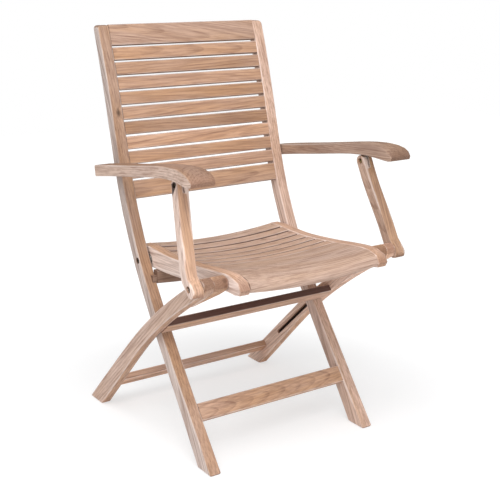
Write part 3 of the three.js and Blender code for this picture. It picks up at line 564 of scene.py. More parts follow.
@dataclass(frozen=True)
class SteelFinish:
    """Satin steel with turning marks and patches of dirt."""

    name: str = "satin_steel"
    clean: Colour = shade(158, 156, 152)
    dirty: Colour = shade(74, 68, 60)
    dirt: Layer = Layer((300.0, 300.0, 300.0), 4.0, 0.65, (0.42, 0.68))
    marks_stretch: Triple = (2600.0, 700.0, 700.0)
    marks_detail: float = 1.0
    roughness: float = 0.24
    dirt_roughness: float = 0.3
    marks_roughness: float = 0.12
    bump: float = 0.25
    relief: float = 0.05 * MM

    def material(self) -> Material:
        """Builds the material.

        Returns:
            The new material.
        """
        material, patch, shader = new_material(self.name)
        place = patch.add("TexCoord").outputs["Object"]
        dirt = patch.mask(place, self.dirt)
        marks = patch.noise(place, self.marks_stretch, self.marks_detail)
        patch.feed(shader.inputs["Base Color"], patch.mix(dirt, self.clean, self.dirty))
        rough = patch.plus(
            patch.times(dirt, self.dirt_roughness), patch.times(marks, self.marks_roughness), self.roughness
        )
        patch.feed(shader.inputs["Roughness"], rough)
        shader.inputs["Metallic"].default_value = 1.0
        patch.feed(shader.inputs["Normal"], patch.bump(marks, self.bump, self.relief))
        return material


class Sawing(Enum):
    """How a board was sawn from the log, as the way from its middle to the pith, in metres."""

    FLAT = (0.006, 0.042)
    RIFT = (0.04, 0.045)
    QUARTER = (0.07, 0.008)


@dataclass
class Timber:
    """A wooden piece: the node that it dresses and how its wood runs.

    The bend is the degree of the curve that its middle follows. The lean is how far the wood's fibres tilt from
    the board, in degrees: out of its face, and within its face. The knot's place is in the chair's frame, in
    millimetres, and far away where there is no knot. The fade is added to the tone towards the end that the grain
    points to, and taken off at the other. Two shares give how dark painted shade makes the narrow edges and the
    broad faces, one how pale painted light makes the faces towards the chair's sides, and the grey is how pale
    and weathered the board is all over. The bores are named by the nodes that sit in them.
    """

    node: str
    body: str
    grain: Triple = (1.0, 0.0, 0.0)
    bend: int = 1
    sawing: Sawing = Sawing.FLAT
    lean_deg: tuple[float, float] = (1.2, 0.8)
    spacing: float = 4.2 * MM
    tone: float = 0.0
    fade: float = 0.0
    warmth: float = 0.0
    bleach: float = 0.3
    knot: Triple = (9e5, 0.0, 0.0)
    heart: tuple[float, float] = (0.0, 0.0)
    grey: float = 0.0
    bores: tuple[str, ...] = ()
    grooved: bool = False
    flared: bool = False
    slot: str = "teak"

    def make(self, finish: Material) -> Piece:
        """Planes up a finished copy of the node, with its wood's own coordinates.

        Args:
            finish: The material of the wood.

        Returns:
            The finished piece.
        """
        piece = finished_copy(self.node)
        self.mark(piece.data)
        return dress(piece, finish, self.body, self.slot, self.node)

    def mark(self, mesh: bpy.types.Mesh) -> None:
        """Stores on the piece's mesh where each corner lies in the board and how the wood looks there.

        Args:
            mesh: The finished copy's mesh.
        """
        points = np.zeros(len(mesh.vertices) * 3)
        mesh.vertices.foreach_get("co", points)
        points = points.reshape(-1, 3)
        centre = points.mean(0)
        axes = self.axes(points - centre)
        local = (points - centre) @ axes.T
        along = local[:, 0]
        straight = not self.crosswise(axes[0]) and not self.flared
        wide, wide_half = section_of(along, local[:, 1], 0 if straight else self.bend)
        thick, thick_half = section_of(along, local[:, 2], self.bend)
        reach = (along.max() - along.min()) / 2
        place = (along - (along.max() + along.min()) / 2) / reach
        turn, pith = self.sawn()
        everywhere = np.ones((len(points), 1))
        tint = everywhere * (self.tone, self.warmth, self.spacing)
        tint[:, 0] += self.fade * place
        store(mesh, "board", local @ turn + pith)
        store(mesh, "section", np.column_stack([wide, thick, place]))
        store(mesh, "halves", np.column_stack([wide_half, thick_half, reach * everywhere[:, 0]]))
        store(mesh, "tint", tint)
        store(mesh, "knot", everywhere * ((np.array(self.knot) * MM - centre) @ axes.T @ turn + pith))
        inset, below = (1 - np.abs(wide)) * wide_half, (1 - np.abs(thick)) * thick_half
        groove = np.where(np.abs(place) < GROOVE_END, np.minimum(inset, below), 0)
        # The depth in the groove or the bores sets the painted shade there.
        store(mesh, "sunk", groove if self.grooved else self.in_bores(points, inset))
        self.mark_faces(mesh, axes)

    def sawn(self) -> tuple[np.ndarray, np.ndarray]:
        """Draws how the board lies in its log.

        Returns:
            The turn from the board's axes to the log's, and the place of the board's middle in the log.
        """
        chance = random.Random(self.node)
        out, within = (math.radians(angle) * chance.choice((-1, 1)) for angle in self.lean_deg)
        turn = np.array(Euler((chance.uniform(-LOG_TWIST, LOG_TWIST), out, within)).to_matrix()).T
        pith = np.array([chance.uniform(0, LOG_LENGTH), *self.sawing.value])
        pith[1:] *= chance.uniform(*LOG_GIRTHS)
        return turn, pith

    def in_bores(self, points: np.ndarray, inset: np.ndarray) -> np.ndarray:
        """Finds how deep the piece's corners lie in its bores.

        Args:
            points: The piece's corners.
            inset: How far each lies in from the nearer side face.

        Returns:
            The depth in metres, 0 outside the bores.
        """
        depth = np.zeros(len(points))
        for node in self.bores:
            low, high = (np.array(corner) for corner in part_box(node))
            middle, radius = (low + high) / 2, (high[2] - low[2]) / 2 + BORE_PLAY
            inside = np.hypot(points[:, 1] - middle[1], points[:, 2] - middle[2]) < radius
            depth[inside] = inset[inside]
        return depth

    @staticmethod
    def crosswise(grain: np.ndarray) -> bool:
        """Tells whether the grain runs across the chair, from side to side."""
        return abs(grain[0]) >= CROSSWISE

    def axes(self, points: np.ndarray) -> np.ndarray:
        """Finds the board's axes.

        Args:
            points: The piece's corners, seen from its middle.

        Returns:
            Rows for the grain, the width and the thickness.
        """
        along = np.array(Vector(self.grain).normalized())
        if self.crosswise(along):
            flat = points[:, 1:]
            spread, ways = np.linalg.eigh(flat.T @ flat)
            width = np.array([0.0, *ways[:, int(spread.argmax())]])
        else:
            width = np.array([1.0, 0.0, 0.0])
        return np.array([along, width, np.cross(along, width)])

    def mark_faces(self, mesh: bpy.types.Mesh, axes: np.ndarray) -> None:
        """Stores how far each corner's face turns to the grain's end, the chair's side and the board's edge.

        Args:
            mesh: The piece's mesh.
            axes: Rows for the grain, the width and the thickness.
        """
        normals = np.zeros(len(mesh.loops) * 3, dtype=np.float32)
        mesh.corner_normals.foreach_get("vector", normals)
        normals = normals.reshape(-1, 3)
        end = facing(normals, axes[0], *END_FACES)
        # Painted light on faces towards the chair's sides, with the grey weathering added all over, and painted
        # shade on the chosen edges and faces.
        side = facing(normals, (1.0, 0.0, 0.0), *SIDE_FACES) * (1 - end) * self.bleach + self.grey
        heart = sum(facing(normals, axis, *SHADED_FACES) * share for axis, share in zip(axes[1:], self.heart))
        for name, values in (("end_grain", end), ("side", side), ("heart", heart)):
            store(mesh, name, values, "CORNER")


def facing(normals: np.ndarray, way: np.ndarray | Triple, start: float, width: float) -> np.ndarray:
    """Measures how far normals lie along a way, from 0 at the cosine start to 1 at a width above it."""
    return np.clip((np.abs(normals @ np.asarray(way)) - start) / width, 0, 1)


def section_of(
    along: np.ndarray, across: np.ndarray, degree: int, bins: int = 24
) -> tuple[np.ndarray, np.ndarray]:
    """Finds where points lie between two opposite faces of a piece that may bend.

    Args:
        along: Places along the piece.
        across: Places across it.
        degree: Degree of the curve that its middle follows.
        bins: How many stretches the piece is measured in.

    Returns:
        Places from -1 to 1 between the faces, and half the distance between the faces there.
    """
    edges = np.linspace(along.min(), along.max(), bins + 1)
    stretch = np.clip(np.digitize(along, edges) - 1, 0, bins - 1)
    low, high = np.full(bins, np.inf), np.full(bins, -np.inf)
    np.minimum.at(low, stretch, across)
    np.maximum.at(high, stretch, across)
    known = (high - low) > WHOLE_SECTION * np.nanmax(np.where(np.isfinite(high - low), high - low, 0))
    places = ((edges[1:] + edges[:-1]) / 2)[known]
    reach = np.abs(along).max()
    curve = np.polyfit(places / reach, (high + low)[known] / 2, min(degree, len(places) - 1))
    middle = np.polyval(curve, along / reach)
    half = np.interp(along, places, (high - low)[known] / 2)
    return np.clip((across - middle) / half, -1, 1), half


def store(mesh: bpy.types.Mesh, name: str, values: np.ndarray, domain: str = "POINT") -> None:
    """Stores a value or a vector for each of a mesh's vertices or corners.

    Args:
        mesh: The mesh.
        name: The attribute's name.
        values: A value or a row for each.
        domain: POINT or CORNER.
    """
    kind, key = ("FLOAT_VECTOR", "vector") if values.ndim > 1 else ("FLOAT", "value")
    attribute = mesh.attributes.new(name, kind, domain)
    attribute.data.foreach_set(key, np.asarray(values, dtype=np.float32).ravel())


def finished_copy(node: str) -> Piece:
    """Copies a node's solid, merges its faces and smooths its eased edges.

    Args:
        node: The node's name.

    Returns:
        The copy, at the origin and free of the frame.
    """
    select_only(bpy.data.objects[node])
    bpy.ops.object.duplicate()
    piece = bpy.context.object
    bpy.ops.object.parent_clear(type="CLEAR_KEEP_TRANSFORM")
    piece.name = f"{node}_finished"
    bpy.ops.object.mode_set(mode="EDIT")
    bpy.ops.mesh.select_all(action="SELECT")
    bpy.ops.mesh.remove_doubles(threshold=DOUBLES)
    bpy.ops.object.mode_set(mode="OBJECT")
    bpy.ops.mesh.customdata_custom_splitnormals_clear()
    bpy.ops.object.shade_smooth_by_angle(angle=WOOD_SMOOTH)
    apply_modifier(piece, "WEIGHTED_NORMAL", keep_sharp=True)
    return piece


def apply_modifier(piece: Piece, kind: str, **settings: object) -> None:
    """Adds a modifier to the active piece and applies it.

    Args:
        piece: The piece.
        kind: The modifier's type.
        **settings: Its properties.
    """
    modifier = piece.modifiers.new("shape", kind)
    for name, value in settings.items():
        setattr(modifier, name, value)
    bpy.ops.object.modifier_apply(modifier=modifier.name)


def dress(piece: Piece, finish: Material, body: str, slot: str, node: str = "") -> Piece:
    """Gives a finished piece its material and its body.

    Args:
        piece: The piece.
        finish: Its material.
        body: The body that it rides on.
        slot: The record's slot of its finish, which is not used.
        node: The node that it stands for, if there is one.

    Returns:
        The piece.
    """
    piece.data.materials.clear()
    piece.data.materials.append(finish)
    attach(piece, body)
    if node:
        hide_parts(node)
    log.info("%s rides on %s", piece.name, body)
    return piece


def lathe(name: str, middle: Vector, axis: Axis, steps: list[tuple[float, float]], sides: int) -> Piece:
    """Turns up a round solid, ring by ring.

    Args:
        name: The piece's name.
        middle: A point on the axis, whose place along the axis isn't used.
        axis: The axis that it is turned about.
        steps: Places along the axis, each with the radius there.
        sides: Sides of each ring.

    Returns:
        The solid, with its place in its mesh.
    """
    way = Vector(axis.value[0])
    flat = Vector((1, 1, 1)) - way
    place, radius = steps[0]
    deselect_all()
    bpy.ops.mesh.primitive_circle_add(
        vertices=sides, radius=radius, fill_type="NGON", location=middle * flat + way * place,
        rotation=(0, axis.value[1], 0),
    )
    piece = bpy.context.object
    piece.name = name
    bpy.ops.object.transform_apply(location=True, rotation=True, scale=True)
    bpy.ops.object.mode_set(mode="EDIT")
    for next_place, next_radius in steps[1:]:
        bpy.ops.mesh.extrude_region_move(TRANSFORM_OT_translate={"value": way * (next_place - place)})
        bpy.ops.transform.resize(
            value=way + flat * (next_radius / radius), center_override=middle * flat + way * next_place
        )
        place, radius = next_place, next_radius
    bpy.ops.mesh.select_all(action="SELECT")
    bpy.ops.mesh.normals_make_consistent(inside=False)
    bpy.ops.object.mode_set(mode="OBJECT")
    return piece


def rod(middle: Vector, radius: float, length: float, sides: int) -> Piece:
    """Makes a plain rod across the chair, to shape a fastener with.

    Args:
        middle: Its middle.
        radius: Its radius.
        length: Its length.
        sides: How many sides it has.

    Returns:
        The rod.
    """
    deselect_all()
    bpy.ops.mesh.primitive_cylinder_add(
        vertices=sides, radius=radius, depth=length, rotation=(0, math.pi / 2, 0), location=middle
    )
    return bpy.context.object


def combine(piece: Piece, other: Piece, operation: str = "DIFFERENCE") -> None:
    """Cuts another solid out of a piece, or keeps what both share.

    Args:
        piece: The piece to shape.
        other: The other solid, which is used up.
        operation: DIFFERENCE or INTERSECT.
    """
    select_only(piece)
    apply_modifier(piece, "BOOLEAN", operation=operation, object=other, solver="EXACT")
    bpy.data.objects.remove(other)


def soften(piece: Piece, width: float, segments: int = 1) -> None:
    """Rounds the sharp edges of a piece and shades it smooth.

    Args:
        piece: The piece.
        width: Width of the rounding.
        segments: Faces across it.
    """
    select_only(piece)
    limit = {"limit_method": "ANGLE", "angle_limit": STEEL_SMOOTH}
    apply_modifier(piece, "BEVEL", width=width, segments=segments, **limit)
    bpy.ops.object.shade_smooth_by_angle(angle=STEEL_SMOOTH)


@dataclass
class Finishes:
    """Every material of the chair."""

    frame_teak: Material
    board_teak: Material
    steel: Material
    zinc: Material

    @classmethod
    def mix(cls) -> Finishes:
        """Mixes all materials.

        Returns:
            The chair's finishes.
        """
        grain, wear_and_highlight = TeakGrain().group(), EdgeWear().group()
        boards = TeakFinish("board_teak", pale=linear(209, 171, 147), gold=linear(203, 157, 119))
        return cls(
            TeakFinish("frame_teak").material(grain, wear_and_highlight),
            boards.material(grain, wear_and_highlight),
            SteelFinish().material(),
            SteelFinish("yellow_zinc", linear(158, 152, 108), linear(66, 62, 44)).material(),
        )


@dataclass(frozen=True)
class BoltSize:
    """Sizes of a socket bolt and its nut: shank, head, socket and nut are radii."""

    shank: float
    head: float
    head_height: float
    socket: float
    socket_depth: float
    nut: float
    pitch: float
    thread: float = 9.0 * MM
    thread_depth: float = 0.45 * MM
    taper: float = 0.7 * MM
    tip_cut: float = 0.9 * MM
    head_rim: float = 0.6 * MM
    head_bulge: float = 0.3
    nut_rim: float = 0.9 * MM


class Bolts(Enum):
    """The two sizes of bolts in the chair."""

    SEAT = BoltSize(4.0 * MM, 7.0 * MM, 4.0 * MM, 3.3 * MM, 2.4 * MM, 6.0 * MM, 1.25 * MM)
    ARM = BoltSize(3.0 * MM, 5.0 * MM, 3.0 * MM, 2.4 * MM, 1.9 * MM, 6.0 * MM, 1.0 * MM)


@dataclass
class Fastener:
    """A steel piece on an axis across the chair, which stands for a node of the frame."""

    node: str
    body: str
    metal: Material
    sides: int = 40
    bolt_ease: float = 0.12 * MM
    bore_ease: float = 0.15 * MM
    bore_play: float = 0.05 * MM
    pin_ease: float = 0.1 * MM
    washer_rim: float = 0.5 * MM

    def __post_init__(self) -> None:
        """Reads where the node is."""
        low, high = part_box(self.node)
        self.low, self.high = Vector(low), Vector(high)
        self.middle = (self.low + self.high) / 2

    def turned(self, steps: list[tuple[float, float]]) -> Piece:
        """Turns the fastener up on its own axis, from places and radii."""
        return lathe(f"{self.node}_turned", self.middle, Axis.ACROSS, steps, self.sides)

    def dress(self, piece: Piece) -> Piece:
        """Gives the finished piece its metal and its body."""
        return dress(piece, self.metal, self.body, "steel", self.node)

    def bolt(self, size: BoltSize, head_low: bool) -> Piece:
        """Makes a bolt with a hexagon socket and a threaded end.

        Args:
            size: The bolt's sizes.
            head_low: Whether its head is at the low end of the axis.

        Returns:
            The bolt.
        """
        tip, top = (self.high.x, self.low.x) if head_low else (self.low.x, self.high.x)
        way = math.copysign(1.0, top - tip)
        steps = [(tip, size.shank - size.tip_cut)]
        turns = int(size.thread / size.pitch)
        for turn in range(turns):
            start = tip + way * (size.taper + turn * size.pitch)
            steps += [(start, size.shank), (start + way * size.pitch / 2, size.shank - size.thread_depth)]
        neck = top - way * size.head_height
        rim = size.head_rim
        bulge = rim * size.head_bulge
        steps += [
            (tip + way * (size.taper + turns * size.pitch), size.shank), (neck, size.shank), (neck, size.head),
            (top - way * rim, size.head), (top - way * bulge, size.head - bulge), (top, size.head - rim),
        ]
        piece = self.turned(steps)
        combine(piece, rod(Vector((top, *self.middle.yz)), size.socket, 2 * size.socket_depth, 6))
        soften(piece, self.bolt_ease)
        return self.dress(piece)

    def nut(self, size: BoltSize) -> Piece:
        """Makes a chamfered hexagon nut.

        Args:
            size: The sizes of the bolt that it is on.

        Returns:
            The nut.
        """
        low, high, rim = self.low.x, self.high.x, size.nut_rim
        face = size.nut - rim
        piece = self.turned([(low, face), (low + rim / 2, size.nut), (high - rim / 2, size.nut), (high, face)])
        combine(piece, rod(self.middle, size.nut, 2 * (high - low), 6), "INTERSECT")
        self.bore(piece, size.shank)
        return self.dress(piece)

    def washer(self, radius: float, hole: float) -> Piece:
        """Makes a flat washer with rolled edges.

        Args:
            radius: Its radius.
            hole: The radius of its hole.

        Returns:
            The washer.
        """
        low, high, rim = self.low.x, self.high.x, self.washer_rim
        face = radius - rim
        piece = self.turned([(low, face), (low + rim, radius), (high - rim, radius), (high, face)])
        self.bore(piece, hole)
        return self.dress(piece)

    def bore(self, piece: Piece, radius: float) -> None:
        """Bores a piece along the axis and softens its edges.

        Args:
            piece: The piece.
            radius: The hole's radius.
        """
        combine(piece, rod(self.middle, radius + self.bore_play, 4 * (self.high.x - self.low.x), self.sides))
        soften(piece, self.bore_ease)

    def pin(self, rim: float, dimple: float) -> Piece:
        """Makes a plain pin or roller with chamfered ends and a dimple in each.

        Args:
            rim: Width of the chamfers.
            dimple: The dimples' radius.

        Returns:
            The pin.
        """
        low, high = self.low.x, self.high.x
        radius = (self.high.z - self.low.z) / 2
        steps = [(low + rim, dimple / 2), (low, dimple), (low, radius - rim), (low + rim, radius)]
        steps += [(high - rim, radius), (high, radius - rim), (high, dimple), (high - rim, dimple / 2)]
        piece = self.turned(steps)
        soften(piece, self.pin_ease)
        return self.dress(piece)


@dataclass
class HingePlate:
    """The steel plate under an arm, with the tongue that the strut turns on and two screws.

    The dome of a screw's head is given from its top, by drops from the plate and shares of the head's radius.
    """

    side: Side
    plate: float = 2.0 * MM
    plate_ease: float = 0.35 * MM
    screw_apart: float = 19.0 * MM
    screw_sides: int = 24
    head: float = 2.7 * MM
    dome: tuple[tuple[float, float], ...] = ((0.9 * MM, 0.45), (0.6 * MM, 0.8), (0.1 * MM, 1.0), (0.0, 1.0))
    cone: float = 1.4 * MM
    shank: float = 1.2 * MM
    length: float = 7.0 * MM
    taper: float = 1.5 * MM
    point: float = 0.2 * MM
    recess_width: float = 0.7 * MM
    recess_depth: float = 1.1 * MM
    recess_reach: float = 1.1
    recess_under: float = 0.7 * MM

    def build(self, finish: Material) -> list[Piece]:
        """Builds and dresses the plate and its screws.

        Args:
            finish: Their metal.

        Returns:
            The pieces.
        """
        fastener = Fastener(f"arm_hinge_plate_{self.side}", f"arm_{self.side}", finish)
        plate = finished_copy(fastener.node)
        soften(plate, self.plate_ease, 2)
        rows = [fastener.dress(plate)]
        under = fastener.high.z - self.plate
        for name, shift in (("front", -self.screw_apart), ("rear", self.screw_apart)):
            middle = fastener.middle + Vector((0, shift, 0))
            screw = self.screw(f"hinge_screw_{name}_{self.side}", middle, under)
            rows.append(dress(screw, finish, fastener.body, "steel"))
        return rows

    def screw(self, name: str, middle: Vector, under: float) -> Piece:
        """Makes a wood screw with a domed head and a crossed recess.

        Args:
            name: The screw's name.
            middle: A point on its axis.
            under: Height of the plate's lower face.

        Returns:
            The screw.
        """
        steps = [(under - height, self.head * share) for height, share in self.dome]
        end = under + self.length
        steps += [(under + self.cone, self.shank), (end - self.taper, self.shank), (end, self.point)]
        piece = lathe(name, middle, Axis.UP, steps, self.screw_sides)
        place = (middle.x, middle.y, under - self.recess_under)
        for turn in (0.0, math.pi / 2):
            deselect_all()
            bpy.ops.mesh.primitive_cube_add(size=1, location=place, rotation=(0, 0, turn))
            cross = bpy.context.object
            cross.scale = (self.head * self.recess_reach, self.recess_width, self.recess_depth)
            bpy.ops.object.transform_apply(location=True, rotation=True, scale=True)
            combine(piece, cross)
        bpy.ops.object.shade_smooth_by_angle(angle=STEEL_SMOOTH)
        return piece


class SubAssembly:
    """Pieces that belong together: its timbers, its thin slats and its steel."""

    def timbers(self) -> list[Timber]:
        """Lists what is made of the frame's teak."""
        return []

    def slats(self) -> list[Timber]:
        """Lists what is made of the slats' teak."""
        return []

    def steel(self, finishes: Finishes) -> list[Piece]:
        """Makes and dresses what is made of steel."""
        return []

    def build(self, finishes: Finishes) -> list[Piece]:
        """Builds and dresses the wood and then the steel.

        Args:
            finishes: The chair's materials.

        Returns:
            The pieces.
        """
        rows = [timber.make(finishes.frame_teak) for timber in self.timbers()]
        rows += [slat.make(finishes.board_teak) for slat in self.slats()]
        return rows + self.steel(finishes)


@dataclass
class BackFrame(SubAssembly):
    """The fixed frame: side posts, back boards, front stretcher and seat rest rail."""

    body: str = "back_frame"
    post_grain: Triple = (0.0, 0.46, 0.93)
    slat_tones: tuple[float, ...] = (-0.14, -0.16, 0.0, -0.28, -0.14, -0.2, -0.13, -0.22, -0.14)
    slat_warmths: tuple[float, ...] = (0.1, 0.3, 0.15, 0.4, 0.1, 0.38, 0.05, 0.2, 0.35)
    slat_leans: tuple[float, ...] = (0.9, 2.0, 1.3, 2.4, 1.6, 0.8, 2.2, 1.2, 1.8)
    seat_washer: float = 11 * MM
    arm_washer: float = 8 * MM
    washer_play: float = 0.3 * MM
    pin_rim: float = 0.5 * MM
    pin_dimple: float = 1.2 * MM

    def timbers(self) -> list[Timber]:
        """Lists the posts, the rails and the stretcher.

        Returns:
            The timbers.
        """
        looks = {
            Side.LEFT: {"lean_deg": (1.5, 1.0), "tone": -0.25, "fade": -0.08, "warmth": 0.2, "bleach": 0.92,
                        "knot": (-210, 175, 737)},
            Side.RIGHT: {"lean_deg": (1.0, 1.0), "tone": 0.02, "warmth": -0.1, "grey": 0.15, "bleach": 0.25},
        }
        posts = [
            Timber(f"stile_{side}", self.body, self.post_grain, bend=7, sawing=Sawing.QUARTER, spacing=6 * MM,
                   bores=(f"seat_pivot_bolt_{side}", f"arm_pivot_bolt_{side}"), **looks[side])
            for side in Side
        ]
        return posts + [
            Timber("top_rail", self.body, lean_deg=(1.0, 8.0), spacing=3.4 * MM, tone=-0.24, heart=(0.25, 0)),
            Timber("bottom_rail", self.body, lean_deg=(1.5, 1.0), warmth=0.3, tone=-0.15, heart=(0.4, 0)),
            Timber("front_stretcher", self.body, lean_deg=(4.5, 1.0), spacing=3.4 * MM, warmth=0.25, tone=-0.06),
            # The rest rail's dark tone is painted shade under the seat.
            Timber("seat_rest_rail", self.body, bend=2, tone=-0.45),
        ]

    def slats(self) -> list[Timber]:
        """Lists the back slats, from the lowest up.

        Returns:
            The slats.
        """
        looks = zip(self.slat_tones, self.slat_warmths, self.slat_leans)
        return [
            Timber(f"back_slat_{number}", self.body, sawing=Sawing.RIFT if number % 3 else Sawing.FLAT,
                   lean_deg=(lean, lean), tone=tone, warmth=warmth, heart=(0.45, 0), slot="teak_boards")
            for number, (tone, warmth, lean) in enumerate(looks, start=1)
        ]

    def steel(self, finishes: Finishes) -> list[Piece]:
        """Makes the bolts, nuts, washers and the groove pin of each post.

        Args:
            finishes: The chair's materials.

        Returns:
            The pieces.
        """
        seat, arm, steel = Bolts.SEAT.value, Bolts.ARM.value, finishes.steel
        seat_hole, arm_hole = seat.shank + self.washer_play, arm.shank + self.washer_play
        rows = []
        for side in Side:
            rows += [
                Fastener(f"seat_pivot_bolt_{side}", self.body, steel).bolt(seat, side is Side.LEFT),
                Fastener(f"seat_pivot_nut_{side}", self.body, steel).nut(seat),
                Fastener(f"seat_pivot_washer_{side}", self.body, steel).washer(self.seat_washer, seat_hole),
                Fastener(f"arm_pivot_washer_{side}", self.body, steel).washer(self.arm_washer, arm_hole),
                Fastener(f"groove_pin_{side}", self.body, steel).pin(self.pin_rim, self.pin_dimple),
            ]
        return rows


@dataclass
class Seat(SubAssembly):
    """The folding seat: side rails, rolled front board and slats."""

    body: str = "seat"
    rail_grain: Triple = (0.0, -1.0, 0.08)
    slat_count: int = 6

    def timbers(self) -> list[Timber]:
        """Lists the rails, the front board and the rear slat.

        Returns:
            The timbers.
        """
        rails = [
            Timber(f"seat_rail_{side}", self.body, self.rail_grain, bend=5, sawing=Sawing.QUARTER, spacing=5 * MM,
                   bleach=0.75, tone=0.07, bores=(f"leg_pivot_nut_{side}", f"seat_pivot_nut_{side}"))
            for side in Side
        ]
        return rails + [
            Timber("seat_front_board", self.body, bend=2, lean_deg=(2.5, 1.5), spacing=4.5 * MM, tone=-0.16,
                   grey=0.22),
            Timber("seat_rear_slat", self.body, bend=2, tone=-0.06, grey=0.2, heart=(0.8, 0)),
        ]

    def slats(self) -> list[Timber]:
        """Lists the narrow slats."""
        return [
            Timber(f"seat_slat_{number}", self.body, bend=2, sawing=Sawing.RIFT if number % 2 else Sawing.FLAT,
                   lean_deg=(1.5, 1.0), tone=-0.06, grey=0.2, heart=(0.8, 0), slot="teak_boards")
            for number in range(1, self.slat_count + 1)
        ]

    def steel(self, finishes: Finishes) -> list[Piece]:
        """Makes the bolts and nuts that carry the legs and the struts.

        Args:
            finishes: The chair's materials.

        Returns:
            The pieces.
        """
        size, rows = Bolts.SEAT.value, []
        for side in Side:
            rows += [
                Fastener(f"leg_pivot_bolt_{side}", self.body, finishes.steel).bolt(size, side is Side.LEFT),
                Fastener(f"leg_pivot_nut_{side}", self.body, finishes.steel).nut(size),
            ]
        return rows


@dataclass
class RearLegs(SubAssembly):
    """The rear legs with their spacers and stretchers."""

    body: str = "rear_legs"
    leg_grain: Triple = (0.0, 0.77, -0.64)
    spacer_grain: Triple = (0.0, 0.94, -0.34)

    def timbers(self) -> list[Timber]:
        """Lists the legs, the spacers and the stretchers.

        Returns:
            The timbers.
        """
        # The right leg's higher tone is painted light on its inner face, which lies in shade.
        legs = [
            Timber(f"rear_leg_{side}", self.body, self.leg_grain, bend=7, lean_deg=(1.0, 1.0), spacing=7 * MM,
                   tone=tone, fade=0.09, bleach=0.35, grooved=True)
            for side, tone in zip(Side, (-0.12, 0.28))
        ]
        spacers = [
            Timber(f"leg_spacer_{side}", self.body, self.spacer_grain, bend=2, lean_deg=(5, 6), warmth=0.45,
                   tone=-0.12, bleach=0.0, knot=(across, -262.5, 445.5), slot="teak_boards")
            for side, across in zip(Side, (-203, 203))
        ]
        # The stretchers' dark narrow edges are painted shade below the seat, and the rear stretcher's high tone
        # is painted light.
        return legs + spacers + [
            Timber("middle_stretcher", self.body, heart=(0.95, 0)),
            Timber("rear_stretcher", self.body, heart=(0.35, 0), tone=0.33),
        ]


@dataclass
class GrooveRollers(SubAssembly):
    """The rollers that run in the grooves of the rear legs."""

    body: str = "groove_rollers"
    rim: float = 0.8 * MM
    dimple: float = 1.6 * MM

    def steel(self, finishes: Finishes) -> list[Piece]:
        """Makes the rollers."""
        rollers = [Fastener(f"groove_roller_{side}", self.body, finishes.steel) for side in Side]
        return [roller.pin(self.rim, self.dimple) for roller in rollers]


@dataclass
class ArmAndStrut(SubAssembly):
    """One arm with the strut that stands under it."""

    side: Side
    arm_grain: Triple = (0.0, -1.0, 0.1)
    strut_grain: Triple = (0.0, 0.42, 0.9)

    def __post_init__(self) -> None:
        """Names the two bodies, which are also the names of their timbers."""
        self.arm, self.strut = f"arm_{self.side}", f"strut_{self.side}"

    def timbers(self) -> list[Timber]:
        """Lists the arm and the strut.

        Returns:
            The timbers.
        """
        if self.side is Side.LEFT:
            arm_look = {"tone": -0.14, "bleach": 0.5, "heart": (0.0, 0.4)}
            strut_look = {"tone": 0.04, "warmth": 0.1, "bleach": 0.7}
        else:
            arm_look = {"tone": -0.36, "bleach": 0.2, "heart": (0.0, 0.05), "grey": 0.08}
            strut_look = {"tone": -0.22, "warmth": 0.4, "bleach": 0.4}
        bores = (f"strut_top_bolt_{self.side}", f"leg_pivot_bolt_{self.side}")
        return [
            Timber(self.arm, self.arm, self.arm_grain, bend=6, lean_deg=(3.0, 3.0), spacing=4.6 * MM, warmth=0.2,
                   flared=True, **arm_look),
            Timber(self.strut, self.strut, self.strut_grain, bend=5, sawing=Sawing.QUARTER, lean_deg=(1.5, 1.0),
                   spacing=6 * MM, bores=bores, **strut_look),
        ]

    def steel(self, finishes: Finishes) -> list[Piece]:
        """Makes the hinge plate, the two bolts and the nut.

        Args:
            finishes: The chair's materials.

        Returns:
            The pieces.
        """
        size, left = Bolts.ARM.value, self.side is Side.LEFT
        return HingePlate(self.side).build(finishes.steel) + [
            Fastener(f"arm_pivot_bolt_{self.side}", self.arm, finishes.steel).bolt(size, not left),
            Fastener(f"strut_top_bolt_{self.side}", self.strut, finishes.zinc).bolt(size, left),
            Fastener(f"strut_top_nut_{self.side}", self.strut, finishes.zinc).nut(size),
        ]


@dataclass(frozen=True)
class Lamp:
    """A square soft lamp: its place and side in metres, and its power in watts."""

    name: str
    place: Triple
    size: float
    power: float

    def hang(self, target: Triple) -> None:
        """Hangs the lamp and points it at the target.

        Args:
            target: The place to light.
        """
        deselect_all()
        bpy.ops.object.light_add(type="AREA", location=self.place)
        lamp = bpy.context.object
        lamp.name = self.name
        lamp.data.size = self.size
        lamp.data.energy = self.power
        aim = Vector(target) - Vector(self.place)
        lamp.rotation_euler = aim.to_track_quat("-Z", "Y").to_euler()


